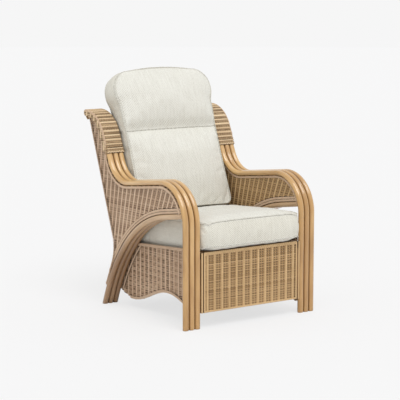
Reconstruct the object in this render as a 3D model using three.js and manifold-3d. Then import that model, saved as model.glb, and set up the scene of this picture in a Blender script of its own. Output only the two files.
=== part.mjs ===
// A cane conservatory armchair with a loose seat cushion and a loose back cushion.
// Millimetres and degrees; +Z is up, the front faces -Y, and x = 0 is the middle of the chair.
// Side shapes are drawn as (y, z): y = 0 is the front of the front legs, z = 0 is the floor.
import * as THREE from "three";
import { mergeVertices } from "three/addons/utils/BufferGeometryUtils.js";
import Module from "manifold-3d";

const wasm = await Module();
wasm.setup();

// Air between pieces that touch, how far a cut reaches past what it cuts, and the weld distance.
const fit = 0.3;
const overrun = 20;
const weld = 0.001;

// Facets: degrees between rings of a bend, and corners of round sections.
const bendStepAngle = 9;
const archStepAngle = 6.5;
const waistStepAngle = 12;
const archSides = 10;
const railSides = 12;
const postSides = 8;
const cornerSteps = 3;
const cushionColumns = 12;
const seatRows = 8;
const backRows = 13;

// How full the cushions' faces are: both powers shape the rise from seam to crown.
const domePower = 2.6;
const domeSoftness = 0.55;
const endPower = 6;

// Front bands: three flat-faced poles side by side make the leg, the arm and the wing.
const chairWidth = 714;
const bandPoleWidth = 29;
const bandPoleDepth = 24;
const bandPoleChamfer = 5.5;
const legRise = 450;
const armBend = 170;
const armAngle = 6.7;
const armRun = 266;
const backBend = 147;
const wingAngle = 65;
const wingRun = 136;
const wingCurl = 148;
const wingEndAngle = -8;

// Arches: three round poles side by side run from behind each front leg down to the rear foot.
const archPoleDiameter = 26;
const archRise = 45;
const archAngle = 8.5;
const archBend = 560;
const archKneeAngle = 47.5;
const rearLegBend = 850;
const rearLegAngle = 68;
const archGap = 22;
const archTries = 6;

// Back: a woven skin outside, a woven panel inside, and slim rails between them.
const skinThickness = 8;
const backCavity = 18;
const skirtZ = 101;
const skirtAngle = 115.6;
const skirtRun = 129;
const waistBend = 150;
const backAngle = 69.5;
const crestBend = 40;
const crestAngle = 35;
const crestSetback = 30;
const crestDrop = 19;
const panelDrop = 37;
const cornerPostDiameter = 20;

// Side skins: ribbed weave from the band down to a plait along the arch.
const sideSkinThickness = 8;
const sideRibPitch = 33.5;
const sideRibHeight = 3;
const sideRibAngle = 14;
const plaitHeight = 24;
const plaitThickness = 12;

// Wing wraps: cane wound round the top of each band in rows.
const wrapThickness = 3.5;
const wrapRidge = 2;
const wrapStart = 35;
const wrapRows = 11;

// Seat box: woven aprons hang from the seat rails, which fall towards the back.
const seatAngle = 4.3;
const apronRise = 13;
const seatDrop = 123;
const seatRailDiameter = 25;
const apronThickness = 9;
const apronRibPitch = 34.5;
const apronRibHeight = 1.5;
const apronLow = 41;
const apronHigh = 118;
const apronHumpShare = 0.373;
const apronBellyShare = 0.822;
const apronBorder = 18;

// Front apron: light stakes stand proud of the weave between two edge posts.
const frontApronSetback = 3;
const frontApronLow = 68;
const stakePitch = 39;
const stakeWidth = 12;
const stakeHeight = 2.5;
const edgePostWidth = 14;
const edgePostDepth = 16;

// Seat deck: flat slats lie across the side rails.
const slatCount = 8;
const slatWidth = 34;
const slatThickness = 7;

// Cushions: a gusset between piped seams, and stuffed faces that rise from the seams.
const pipingRise = 10;
const gussetBulge = 5;
const cushionPlay = 2;

// Seat cushion.
const seatOverhang = 15;
const seatThickness = 126;
const seatCrown = 22;
const seatCorner = 38;
const seatDraw = 5;

// Back cushion: a head roll over a flatter back, folded along a sewn line.
const headFlare = 6.5;
const backLength = 665;
const backThickness = 92;
const backCrown = 28;
const headCrown = 46;
const headFold = 380;
const foldDepth = 18;
const foldWidth = 90;
const headRise = 14;
const footCorner = 30;
const headCorner = 92;
const backDraw = 5;
const backSink = 22;

// Colours and finishes.
const poleFinish = { color: 0xcfa672, roughness: 0.38, metalness: 0 };
const archFinish = { color: 0xb08d64, roughness: 0.42, metalness: 0 };
const weaveFinish = { color: 0xa98c6e, roughness: 0.68, metalness: 0 };
const railFinish = { color: 0xb3946a, roughness: 0.55, metalness: 0 };
const clothFinish = { color: 0xe2e0d4, roughness: 0.92, metalness: 0 };

// Sizes that follow from the ones above.
const poleCount = 3;
const bandPitch = bandPoleWidth + fit;
const bandWidth = poleCount * bandPitch;
const bandOuter = chairWidth / 2;
const bandInner = bandOuter - bandWidth;
const archPitch = archPoleDiameter + fit;
const archInner = bandOuter - poleCount * archPitch;
const wrapInner = bandInner - wrapThickness;
const frontRailTop = legRise - seatDrop;
const sides = { left: -1, right: 1 };

const radians = (degrees) => (degrees * Math.PI) / 180;
const sin = (degrees) => Math.sin(radians(degrees));
const cos = (degrees) => Math.cos(radians(degrees));
const tan = (degrees) => Math.tan(radians(degrees));

// A side-view line of straight runs and tangent bends; each point keeps its heading.
class Route {
  constructor(y, z, heading) {
    this.points = [{ y, z, heading }];
  }
  get end() {
    return this.points.at(-1);
  }
  run(length) {
    const { y, z, heading } = this.end;
    this.points.push({ y: y + length * cos(heading), z: z + length * sin(heading), heading });
    return this;
  }
  bend(radius, heading, step = bendStepAngle) {
    const from = this.end;
    const turn = Math.sign(heading - from.heading);
    const centre = {
      y: from.y - turn * radius * sin(from.heading),
      z: from.z + turn * radius * cos(from.heading),
    };
    const steps = Math.ceil(Math.abs(heading - from.heading) / step);
    for (let i = 1; i <= steps; i++) {
      const now = from.heading + ((heading - from.heading) * i) / steps;
      const y = centre.y + turn * radius * sin(now);
      const z = centre.z - turn * radius * cos(now);
      this.points.push({ y, z, heading: now });
    }
    return this;
  }
  // The same line moved sideways, to the left of its heading.
  offset(distance) {
    const moved = this.points.map(({ y, z, heading }) => ({
      y: y - distance * sin(heading),
      z: z + distance * cos(heading),
      heading,
    }));
    return Route.of(moved);
  }
  static of(points) {
    const route = new Route(0, 0, 0);
    route.points = points;
    return route;
  }
}

// Turn a closed geometry into a solid, with its faces pointing out.
function solidOf(geometry) {
  const plain = new THREE.BufferGeometry();
  plain.setAttribute("position", geometry.getAttribute("position"));
  plain.setIndex(geometry.index);
  const merged = mergeVertices(plain, weld);
  const triVerts = new Uint32Array(merged.index.array);
  const vertProperties = merged.getAttribute("position").array;
  const made = new wasm.Manifold(new wasm.Mesh({ numProp: 3, vertProperties, triVerts }));
  if (made.volume() > 0) return made;
  const turned = triVerts.slice().reverse();
  return new wasm.Manifold(new wasm.Mesh({ numProp: 3, vertProperties, triVerts: turned }));
}

// Join rings of equal length into a closed body, with flat ends.
function skinOver(rings) {
  const count = rings[0].length;
  const positions = rings.flat().flatMap((p) => p.toArray());
  const index = [];
  for (let r = 0; r + 1 < rings.length; r++) {
    for (let i = 0; i < count; i++) {
      const a = r * count + i;
      const b = r * count + ((i + 1) % count);
      index.push(a, b, b + count, a, b + count, a + count);
    }
  }
  return { positions, index, count };
}

function bodyOf(positions, index) {
  const geometry = new THREE.BufferGeometry();
  geometry.setAttribute("position", new THREE.BufferAttribute(new Float32Array(positions), 3));
  geometry.setIndex(index);
  return solidOf(geometry);
}

// Sweep a section along a route. Section points are (x, height to the left of the heading).
function sweep(route, section, sectionAt = () => section) {
  const rings = route.points.map(({ y, z, heading }, i) =>
    sectionAt(i).map((s) => new THREE.Vector3(s.x, y - s.y * sin(heading), z + s.y * cos(heading))),
  );
  const { positions, index, count } = skinOver(rings);
  const last = (rings.length - 1) * count;
  const clockwise = THREE.ShapeUtils.isClockWise(section);
  for (const [a, b, c] of THREE.ShapeUtils.triangulateShape(section, [])) {
    const [p, q] = clockwise ? [b, c] : [c, b];
    index.push(a, p, q);
    index.push(last + a, last + q, last + p);
  }
  return bodyOf(positions, index);
}

const flat = (pairs) => pairs.map(([x, y]) => new THREE.Vector2(x, y));

function bar(x0, x1, low, high) {
  return flat([
    [x0, low],
    [x1, low],
    [x1, high],
    [x0, high],
  ]);
}

function chamferedBar(x0, x1, low, high, chamfer) {
  return flat([
    [x0 + chamfer, low],
    [x1 - chamfer, low],
    [x1, low + chamfer],
    [x1, high - chamfer],
    [x1 - chamfer, high],
    [x0 + chamfer, high],
    [x0, high - chamfer],
    [x0, low + chamfer],
  ]);
}

function disc(x, diameter, points) {
  return Array.from({ length: points }, (_, i) => {
    const angle = (360 * (i + 0.5)) / points;
    return new THREE.Vector2(x + (diameter / 2) * cos(angle), (diameter / 2) * sin(angle));
  });
}

// Extrude an outline; turn is the matrix that stands it in its plane.
function extrude(outline, depth, turn) {
  const geometry = new THREE.ExtrudeGeometry(new THREE.Shape(outline), {
    depth,
    bevelEnabled: false,
  });
  geometry.deleteAttribute("normal");
  geometry.deleteAttribute("uv");
  return solidOf(mergeVertices(geometry, weld).applyMatrix4(turn));
}

// An outline in (y, z), from x0 to x1.
function sidePlate(outline, x0, x1) {
  const turn = new THREE.Matrix4().makeBasis(
    new THREE.Vector3(0, 1, 0),
    new THREE.Vector3(0, 0, 1),
    new THREE.Vector3(1, 0, 0),
  );
  return extrude(outline, x1 - x0, turn.setPosition(x0, 0, 0));
}

// An outline in (x, y), from z0 to z1.
function upright(outline, z0, z1) {
  return extrude(outline, z1 - z0, new THREE.Matrix4().makeTranslation(0, 0, z0));
}

// A box between two corners.
function block(x0, y0, z0, x1, y1, z1) {
  const geometry = new THREE.BoxGeometry(x1 - x0, y1 - y0, z1 - z0);
  return solidOf(geometry.translate((x0 + x1) / 2, (y0 + y1) / 2, (z0 + z1) / 2));
}

// A wavy strip: flat back, and ribs of a given pitch and height on the front.
function ribbed(from, to, pitch, height, thickness) {
  const ribs = Math.ceil((to - from) / pitch);
  const front = [];
  const ribShares = [
    [0.32, 0],
    [0.4, 1],
    [0.6, 1],
    [0.68, 0],
  ];
  for (let i = 0; i < ribs; i++) {
    for (const [along, rise] of ribShares) {
      front.push([from + (i + along) * pitch, thickness - height + rise * height]);
    }
  }
  const end = from + ribs * pitch;
  return flat([[from, 0], ...front.filter(([x]) => x > from), [end, 0]]);
}

// The lines that the frame follows.
function bandRoute() {
  return new Route(bandPoleDepth / 2, 0, 90)
    .run(legRise)
    .bend(armBend, -armAngle)
    .run(armRun)
    .bend(backBend, wingAngle)
    .run(wingRun)
    .bend(wingCurl, wingEndAngle);
}

// The arch's level run is as long as its closest pass ahead of the back allows.
function archRoute() {
  const lineOf = (level) =>
    new Route(bandPoleDepth, legRise + archRise, -archAngle)
      .run(level)
      .bend(archBend, -archKneeAngle, archStepAngle)
      .bend(rearLegBend, -rearLegAngle, archStepAngle)
      .run(legRise);
  let level = 0;
  for (let i = 0; i < archTries; i++) level += gapToBack(closestToBack(lineOf(level))) - archGap;
  return lineOf(level);
}

// How far a point lies ahead of the back's line, and the point of a line that comes closest to it.
function gapToBack({ y, z }) {
  const { points } = drawnOut(back, reach);
  const i = points.findIndex((p) => p.z >= z);
  const [a, b] = [points[i - 1], points[i]];
  return a.y + ((b.y - a.y) * (z - a.z)) / (b.z - a.z) - y;
}

function closestToBack(route) {
  const above = route.points.filter((p) => p.z > skirtZ);
  return above.reduce((best, p) => (gapToBack(p) < gapToBack(best) ? p : best));
}

// The back climbs from the skirt's hem to a crest below the wing's end.
function backRoute(crestY, crestZ) {
  const line = new Route(0, skirtZ, skirtAngle).run(skirtRun).bend(waistBend, backAngle, waistStepAngle);
  const rise = crestZ - line.end.z - crestBend * (cos(crestAngle) - cos(backAngle));
  line.run(rise / sin(backAngle)).bend(crestBend, crestAngle, waistStepAngle);
  const shift = crestY - line.end.y;
  return Route.of(line.points.map((p) => ({ ...p, y: p.y + shift })));
}

// A route with both its ends drawn out straight.
function drawnOut(route, distance) {
  const [first] = route.points;
  const start = new Route(first.y, first.z, first.heading).run(-distance).end;
  const end = new Route(route.end.y, route.end.z, route.end.heading).run(distance).end;
  return Route.of([start, ...route.points, end]);
}

const band = bandRoute();
const back = backRoute(band.end.y - crestSetback, band.end.z - crestDrop);
const skirtY = back.points[0].y;
const backStraight = back.points.filter((p) => p.heading === backAngle);
const backRun = (backStraight[1].z - backStraight[0].z) / sin(backAngle);

// Farther than any piece reaches from the middle of the floor.
const reach = chairWidth + legRise + backRun;

// The arch, and the upper part of it down to where it comes closest to the back.
const arch = archRoute();
const archFront = Route.of(arch.points.slice(0, arch.points.indexOf(closestToBack(arch)) + 1));

// The wing is the last part of the band, above the wrap's lower edge.
function wingRoute() {
  const from = band.points[band.points.findIndex((p) => p.heading === wingAngle)];
  const straight = wingRun - wrapStart;
  const total = straight + wingCurl * radians(wingAngle - wingEndAngle);
  const base = new Route(from.y, from.z, wingAngle).run(wrapStart).end;
  const points = [base];
  const steps = 2 * wrapRows;
  for (let i = 1; i <= steps; i++) {
    const along = (total * i) / steps;
    const line = new Route(base.y, base.z, wingAngle).run(Math.min(along, straight));
    if (along > straight) {
      const turned = THREE.MathUtils.radToDeg((along - straight) / wingCurl);
      line.bend(wingCurl, wingAngle - turned, turned);
    }
    points.push(line.end);
  }
  return Route.of(points);
}

const wing = wingRoute();

// Spaces that a neighbour keeps clear, drawn on the right side of the chair.
const halfBand = bandPoleDepth / 2 + fit;
const bandSpace = sweep(band, bar(bandInner - fit, bandOuter + overrun, -halfBand, halfBand));
const halfArch = archPoleDiameter / 2 + fit;
const archSpace = sweep(
  arch,
  bar(archInner - overrun, bandOuter + overrun, -halfArch, halfArch + plaitHeight + fit),
);
const halfWrap = bandPoleDepth / 2 + wrapThickness + fit;
const wingSpace = sweep(wing, bar(wrapInner - fit, bandOuter + overrun, -halfWrap, halfWrap));
const backSpace = sweep(
  drawnOut(back, plaitHeight + overrun),
  bar(-bandOuter, bandOuter + overrun, -overrun, skinThickness + fit),
);
const belowFloor = block(-reach, -reach, -reach, reach, reach, 0);

// The seat line, from the front of the legs to the back; tops of the rails lie on it.
const seatLine = (y) => frontRailTop - y * tan(seatAngle);
const apronTop = (y) => seatLine(y) + apronRise;

// Front bands.
function bandPole(n) {
  const outer = bandOuter - n * bandPitch;
  const half = bandPoleDepth / 2;
  return sweep(band, chamferedBar(outer - bandPoleWidth, outer, -half, half, bandPoleChamfer));
}

// Arches, seated against the back of the band and cut level at the floor.
function archPole(n) {
  const centre = bandOuter - archPoleDiameter / 2 - n * archPitch;
  const section = disc(centre, archPoleDiameter, archSides);
  return sweep(arch, section).subtract(bandSpace).subtract(belowFloor);
}

// The cane wound round the wing: a sleeve with a row of ridges, closed over the pole ends.
function wingWrap() {
  const { y, z } = wing.end;
  const tip = Route.of([...wing.points, new Route(y, z, wingEndAngle).run(wrapThickness).end]);
  const sectionAt = (i) => {
    const ridge = i % 2 === 1 && i < wing.points.length - 1 ? wrapRidge : 0;
    const out = wrapThickness - wrapRidge + ridge;
    const half = bandPoleDepth / 2 + out;
    return chamferedBar(bandInner - out, bandOuter + out, -half, half, bandPoleChamfer);
  };
  const half = bandPoleDepth / 2 + fit;
  const poles = [...band.points.filter((p) => p.z > legRise), new Route(y, z, wingEndAngle).run(fit).end];
  const section = chamferedBar(bandInner, bandOuter + fit, -half, half, bandPoleChamfer);
  return sweep(tip, sectionAt(0), sectionAt).subtract(sweep(Route.of(poles), section));
}

const plateOf = (line, x0, x1) =>
  sidePlate(
    line.map((p) => new THREE.Vector2(p.y, p.z)),
    x0,
    x1,
  );

// A plate of all that lies ahead of the back's line, drawn out straight to below the floor.
function plateAheadOfBack(x0, x1) {
  const line = [
    drawnOut(back, reach).points[0],
    ...back.points,
    { y: back.end.y, z: reach },
    { y: -reach, z: reach },
    { y: -reach, z: -reach },
  ];
  return plateOf(line, x0, x1);
}

// The part of a side plate that lies under the band, over the arch and ahead of the back.
function sideSheet(x0, x1) {
  const [archStart] = archFront.points;
  const underBand = [...band.points, { y: reach, z: band.end.z }, { y: reach, z: 0 }];
  const overArch = [
    ...archFront.points,
    { y: reach, z: archFront.end.z },
    { y: reach, z: reach },
    { y: archStart.y, z: reach },
  ];
  return plateAheadOfBack(x0, x1)
    .intersect(plateOf(underBand, x0, x1))
    .intersect(plateOf(overArch, x0, x1));
}

// Ribs that lean forward at the top, laid over the whole side.
function sideRibs(x0, thickness, outward) {
  const rib = ribbed(-reach, reach, sideRibPitch, sideRibHeight, thickness);
  const solid = upright(rib, -reach, reach);
  const lean = new THREE.Matrix4().makeRotationX(radians(sideRibAngle));
  const facing = new THREE.Matrix4().makeBasis(
    new THREE.Vector3(0, 1, 0),
    new THREE.Vector3(outward, 0, 0),
    new THREE.Vector3(0, 0, 1),
  );
  facing.setPosition(x0, 0, 0);
  return solid.transform([...lean.multiply(facing).elements]);
}

function outerSkin() {
  const inner = bandOuter - sideSkinThickness - sideRibHeight;
  const sheet = sideSheet(inner - overrun, bandOuter + overrun);
  return sideRibs(inner, sideSkinThickness + sideRibHeight - fit, 1)
    .intersect(sheet)
    .subtract(bandSpace)
    .subtract(archSpace)
    .subtract(backSpace)
    .subtract(wingSpace);
}

function innerSkin() {
  const outer = archInner + sideSkinThickness + sideRibHeight;
  const sheet = sideSheet(bandInner - overrun, outer + overrun);
  const below = sidePlate(
    flat([
      [-reach, -reach],
      [reach, -reach],
      [reach, apronTop(reach) + fit],
      [-reach, apronTop(-reach) + fit],
    ]),
    0,
    bandOuter,
  );
  return sideRibs(outer, sideSkinThickness + sideRibHeight, -1)
    .intersect(sheet)
    .subtract(bandSpace)
    .subtract(archSpace)
    .subtract(backSpace)
    .subtract(wingSpace)
    .subtract(below);
}

// A two-strand plait that caps the arch, between the band and the back skin.
function archPlait(outer, facing) {
  const lobeShares = [
    [0, 0],
    [0.75, 0.04],
    [1, 0.18],
    [1, 0.34],
    [0.7, 0.5],
    [1, 0.66],
    [1, 0.82],
    [0.75, 0.96],
    [0, 1],
  ];
  const section = flat(
    lobeShares.map(([out, up]) => [
      outer - facing * plaitThickness * (1 - out),
      halfArch + up * plaitHeight,
    ]),
  );
  return sweep(archFront, section).subtract(bandSpace).subtract(backSpace);
}

// The round post in the rear corner of each side box.
function cornerPost() {
  const inset = skinThickness + fit + cornerPostDiameter / 2;
  const x = bandOuter - sideSkinThickness - sideRibHeight - fit - cornerPostDiameter / 2;
  const below = block(-reach, -reach, -reach, reach, reach, archFront.end.z);
  return sweep(back.offset(inset), disc(x, cornerPostDiameter, postSides))
    .subtract(below)
    .subtract(archSpace)
    .subtract(wingSpace)
    .subtract(bandSpace);
}

// The woven back, seen from behind, as one curved sheet with upright stakes.
function backSkin() {
  const half = Math.ceil(bandOuter / stakePitch) * stakePitch;
  const strip = ribbed(-half, half, stakePitch, stakeHeight, skinThickness);
  const section = strip.map((p) => new THREE.Vector2(p.x, skinThickness - p.y));
  const between = block(-bandOuter, -reach, -reach, bandOuter, reach, reach);
  return bothSides(sweep(back, section).intersect(between), archSpace, wingSpace);
}

// Cut a middle piece by the spaces of both sides.
function bothSides(solid, ...spaces) {
  return spaces.reduce((left, space) => left.subtract(space).subtract(space.mirror([1, 0, 0])), solid);
}

// The straight part of the back, at a distance in front of the skin's rear face.
function backLine(distance, below, above) {
  const [from] = backStraight;
  return Route.of([new Route(from.y, from.z, backAngle).run(-below).end])
    .run(below + above)
    .offset(distance);
}

// The woven panel that the back cushion leans on, between the side skins and the wings.
function backPanel() {
  const half = Math.ceil(archInner / stakePitch) * stakePitch;
  const strip = ribbed(-half, half, stakePitch, stakeHeight, skinThickness);
  const line = backLine(skinThickness + backCavity, panelDrop, backRun);
  const edge = archInner - fit;
  const between = block(-edge, -reach, -reach, edge, reach, reach);
  return bothSides(sweep(line, strip).intersect(between), wingSpace, bandSpace);
}

// A slim rail across the back, in the space between panel and skin.
function backRail(along) {
  const { y, z } = backLine(skinThickness + backCavity / 2, 0, along).end;
  const rail = lyingRound(backCavity / 2 - fit, archInner - fit).translate(0, y, z);
  return bothSides(rail, wingSpace, bandSpace);
}

// A round bar along x, over the origin.
function lyingRound(radius, half) {
  const geometry = new THREE.CylinderGeometry(radius, radius, 2 * half, railSides);
  return solidOf(geometry.rotateZ(radians(90)));
}

// Seat rails.
function crossRail(y, top, half) {
  const radius = seatRailDiameter / 2;
  return lyingRound(radius, half).translate(0, y, top - radius);
}

const apronOuter = archInner - fit;
const apronInner = apronOuter - apronThickness - apronRibHeight;
const frontRailY = frontApronSetback + apronThickness + stakeHeight + fit + seatRailDiameter / 2;
const rearRailY = panelFrontAt(frontRailTop - seatRailDiameter) - seatRailDiameter;

// The y of the back panel's front face at a height.
function panelFrontAt(z) {
  const { y, z: base } = backLine(2 * skinThickness + backCavity, 0, backRun).points[0];
  return y + (z - base) / tan(backAngle);
}

function sideRail() {
  const from = frontRailY + seatRailDiameter / 2 + fit;
  const to = rearRailY - seatRailDiameter / 2 - fit;
  const radius = seatRailDiameter / 2;
  const line = new Route(from, seatLine(from) - radius, -seatAngle).run((to - from) / cos(seatAngle));
  return sweep(line, disc(apronInner - fit - radius, seatRailDiameter, railSides));
}

// A slat across the side rails.
function slat(n) {
  const half = apronInner - fit;
  const first = frontRailY - seatRailDiameter / 2 + slatWidth / 2;
  const last = rearRailY;
  const y = first + ((last - first) * n) / (slatCount - 1);
  const line = new Route(y, seatLine(y) + fit, -seatAngle).run(-slatWidth / 2);
  const middle = Route.of([line.end]).run(slatWidth);
  return sweep(middle, bar(-half, half, 0, slatThickness));
}

// Side aprons: ribbed sheets with a wavy lower edge and a plaited top border.
function apronOutline() {
  const points = [];
  const from = bandPoleDepth + fit;
  const steps = 22;
  for (let i = 0; i <= steps; i++) {
    const y = from + ((skirtY - from) * i) / steps;
    const share = y / skirtY;
    const wave = cos((180 * (share - apronHumpShare)) / (apronBellyShare - apronHumpShare));
    points.push([y, (apronHigh + apronLow) / 2 + (wave * (apronHigh - apronLow)) / 2]);
  }
  points.push([skirtY, apronTop(skirtY)], [from, apronTop(from)]);
  return flat(points);
}

function sideApron() {
  const rib = ribbed(0, reach, apronRibPitch, apronRibHeight, apronThickness + apronRibHeight);
    const facing = new THREE.Matrix4().makeBasis(
    new THREE.Vector3(0, 1, 0),
    new THREE.Vector3(1, 0, 0),
    new THREE.Vector3(0, 0, 1),
  );
  const ribs = upright(rib, 0, reach).transform([...facing.setPosition(apronInner, 0, 0).elements]);
  const ahead = plateAheadOfBack(apronInner - overrun, apronOuter);
  const sheet = sidePlate(apronOutline(), apronInner - overrun, apronOuter).intersect(ahead);
  const border = sidePlate(topBorder(), apronInner, apronOuter).intersect(sheet);
  return ribs.intersect(sheet).add(border).subtract(backSpace).subtract(bandSpace);
}

function topBorder() {
  const from = bandPoleDepth + fit;
  const to = skirtY;
  return flat([
    [from, apronTop(from) - apronBorder],
    [to, apronTop(to) - apronBorder],
    [to, apronTop(to)],
    [from, apronTop(from)],
  ]);
}

// Front apron between the edge posts, with stakes on its front.
const postInner = bandInner - fit - edgePostWidth;

function frontApron() {
  const half = postInner - fit;
  const count = Math.floor((2 * half) / stakePitch);
  const rear = frontApronSetback + stakeHeight + apronThickness;
  const sheet = block(-half, frontApronSetback + stakeHeight, frontApronLow, half, rear, frontRailTop);
  let apron = sheet;
  for (let i = 0; i <= count; i++) {
    const x = (i - count / 2) * stakePitch;
    const stake = chamferedBar(
      x - stakeWidth / 2,
      x + stakeWidth / 2,
      frontApronSetback,
      frontApronSetback + 2 * stakeHeight,
      stakeHeight / 2,
    );
    if (Math.abs(x) + stakeWidth / 2 < half) {
      apron = apron.add(upright(stake, frontApronLow, frontRailTop - apronBorder));
    }
  }
  const hem = [frontApronLow, frontRailTop - apronBorder];
  const hems = hem.map((z) =>
    block(-half, frontApronSetback, z, half, rear, z + (z === frontApronLow ? apronBorder / 2 : apronBorder)),
  );
  return apron.add(hems[0]).add(hems[1]);
}

function edgePost() {
  const post = chamferedBar(
    postInner,
    bandInner - fit,
    frontApronSetback,
    frontApronSetback + edgePostDepth,
    edgePostWidth / 4,
  );
  return upright(post, frontApronLow, frontRailTop - seatRailDiameter - fit);
}

// Cut a length into even steps, with finer steps round the corners at both ends.
function seamSteps(half, lowCorner, highCorner, even) {
  const steps = [];
  for (let i = 0; i < cornerSteps; i++) {
    steps.push(-half + lowCorner * (1 - cos((90 * i) / cornerSteps)));
  }
  const from = -half + lowCorner;
  const to = half - highCorner;
  for (let i = 0; i <= even; i++) steps.push(from + ((to - from) * i) / even);
  for (let i = cornerSteps - 1; i >= 0; i--) {
    steps.push(half - highCorner * (1 - cos((90 * i) / cornerSteps)));
  }
  return steps;
}

// How far a corner of this radius draws the side in, at a distance from the end.
const cornerInset = (radius, fromEnd) =>
  fromEnd < radius ? radius - Math.sqrt(Math.max(0, radius ** 2 - (radius - fromEnd) ** 2)) : 0;

// The rise of a stuffed face, from 0 at its seams to 1 over the middle.
const riseShare = (share) => Math.max(0, 1 - Math.abs(share) ** domePower) ** domeSoftness;
const dome = (u, v) => riseShare(u) * riseShare(v);
const rim = (u, v) => Math.min(1, 2 * dome(u, v));

// The seam of a cushion as rows of points; u and v run from -1 to 1 over its width and length.
function seamGrid(size) {
  const { length, lowCorner, highCorner, draw, endRise } = size;
  const half = length / 2;
  const rows = seamSteps(half, lowCorner, highCorner, size.rows);
  return rows.map((row) => {
    const v = row / half;
    const corners = cornerInset(lowCorner, row + half) + cornerInset(highCorner, half - row);
    const wide = size.widthAt(row + half) / 2 - corners - draw * (1 - v * v);
    return Array.from({ length: cushionColumns + 1 }, (_, column) => {
      const u = (2 * column) / cushionColumns - 1;
      const endMove = (v > 0 ? endRise : draw) * (1 - u * u) * v ** endPower;
      return { u, v, x: u * wide, y: row + endMove };
    });
  });
}

// The row and column of each point round the edge of a grid.
function rimOf(last) {
  const around = [];
  for (let column = 0; column < cushionColumns; column++) around.push([0, column]);
  for (let row = 0; row < last; row++) around.push([row, cushionColumns]);
  for (let column = cushionColumns; column > 0; column--) around.push([last, column]);
  for (let row = last; row > 0; row--) around.push([row, 0]);
  return around;
}

// A cushion: two crowned faces and a bulging gusset between their seams.
// Its middle is over the origin, its length runs along y, and its low face lies on z = 0.
function cushion(size, highFace, lowFace) {
  const { seamLow, seamHigh } = size;
  const seam = seamGrid(size);
  const last = seam.length - 1;
  const positions = [];
  const index = [];
  const addFace = (height) => {
    const first = positions.length / 3;
    for (const { u, v, x, y } of seam.flat()) positions.push(x, y, height(u, v));
    return (row, column) => first + row * (cushionColumns + 1) + column;
  };
  const low = addFace((u, v) => seamLow - lowFace(u, v));
  const high = addFace((u, v) => seamHigh + highFace(u, v));
  for (let row = 0; row < last; row++) {
    for (let column = 0; column < cushionColumns; column++) {
      const corners = (at) => [
        at(row, column),
        at(row, column + 1),
        at(row + 1, column + 1),
        at(row + 1, column),
      ];
      for (const [a, b, c, d] of [corners(high), corners(low).reverse()]) {
        index.push(a, b, c, a, c, d);
      }
    }
  }
  const around = rimOf(last);
  const middle = positions.length / 3;
  for (const [row, column] of around) {
    const { x, y } = seam[row][column];
    const out = new THREE.Vector2(x, y).normalize().multiplyScalar(gussetBulge);
    positions.push(x + out.x, y + out.y, (seamLow + seamHigh) / 2);
  }
  around.forEach(([row, column], i) => {
    const next = (i + 1) % around.length;
    const [nextRow, nextColumn] = around[next];
    const [a, b] = [middle + i, middle + next];
    index.push(low(row, column), low(nextRow, nextColumn), b, low(row, column), b, a);
    index.push(a, b, high(nextRow, nextColumn), a, high(nextRow, nextColumn), high(row, column));
  });
  return bodyOf(positions, index);
}

// The seat cushion lies on the slats between the side aprons and falls back with them.
const deckTop = (y) => seatLine(y) + (2 * fit + slatThickness) / cos(seatAngle);
const seatRear = panelFrontAt(frontRailTop - seatRailDiameter) - cushionPlay;
const seatDepth = (seatRear + seatOverhang) / cos(seatAngle);
const seatMiddle = (seatRear - seatOverhang) / 2;
const seatWidth = 2 * (apronInner - gussetBulge - cushionPlay);

function seatCushion() {
  const size = {
    length: seatDepth,
    widthAt: () => seatWidth,
    lowCorner: seatCorner,
    highCorner: seatCorner,
    draw: seatDraw,
    endRise: -seatDraw,
    seamLow: pipingRise,
    seamHigh: seatThickness,
    rows: seatRows,
  };
  const form = cushion(
    size,
    (u, v) => seatCrown * dome(u, v),
    (u, v) => pipingRise * rim(u, v),
  );
  const place = new THREE.Matrix4().makeRotationX(radians(-seatAngle));
  place.setPosition(0, seatMiddle, deckTop(seatMiddle) + fit);
  return form.transform([...place.elements]);
}

// The seat cushion's top line under the back cushion's front edge.
const backFoot = panelFrontAt(frontRailTop) - backThickness / sin(backAngle);
const footShare = (backFoot - seatMiddle) / (seatDepth / 2);
const seatTopAt = (y) => deckTop(y) + (fit + seatThickness + seatCrown * dome(0, footShare)) / cos(seatAngle);

// The back cushion stands on the seat cushion and leans on the back panel.
const headWidth = 2 * (wrapInner - gussetBulge);

function backCushion() {
  const half = backLength / 2;
  const along = (v) => (v + 1) * half;
  const widthAt = (s) => {
    const share = THREE.MathUtils.smoothstep(s, headFold, backLength - headCorner);
    return headWidth - 2 * headFlare * (1 - share);
  };
  const frontFace = (u, v) => {
    const share = THREE.MathUtils.smoothstep(along(v), headFold, headFold + foldWidth);
    const crown = backCrown + (headCrown - backCrown) * share;
    const foldShare = Math.exp(-(((2 * (along(v) - headFold)) / foldWidth) ** 2));
    return crown * dome(u, v) - foldDepth * foldShare * rim(u, v);
  };
  const size = {
    length: backLength,
    widthAt,
    lowCorner: footCorner,
    highCorner: headCorner,
    draw: backDraw,
    endRise: headRise,
    seamLow: pipingRise,
    seamHigh: backThickness,
    rows: backRows,
  };
  const form = cushion(size, frontFace, (u, v) => pipingRise * rim(u, v));
  const place = new THREE.Matrix4().makeRotationX(radians(backAngle));
  const footZ = seatTopAt(panelFrontAt(frontRailTop)) - backSink;
  const footY = panelFrontAt(footZ) - fit / sin(backAngle);
  place.setPosition(0, footY + half * cos(backAngle), footZ + half * sin(backAngle));
  const from = new Route(0, seatTopAt(0) + fit, -seatAngle).run(-reach).end;
  const seat = sweep(Route.of([from]).run(2 * reach), bar(-reach, reach, -reach, 0));
  return form.transform([...place.elements]).subtract(seat);
}

// Build the scene.
const chair = new THREE.Group();

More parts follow.
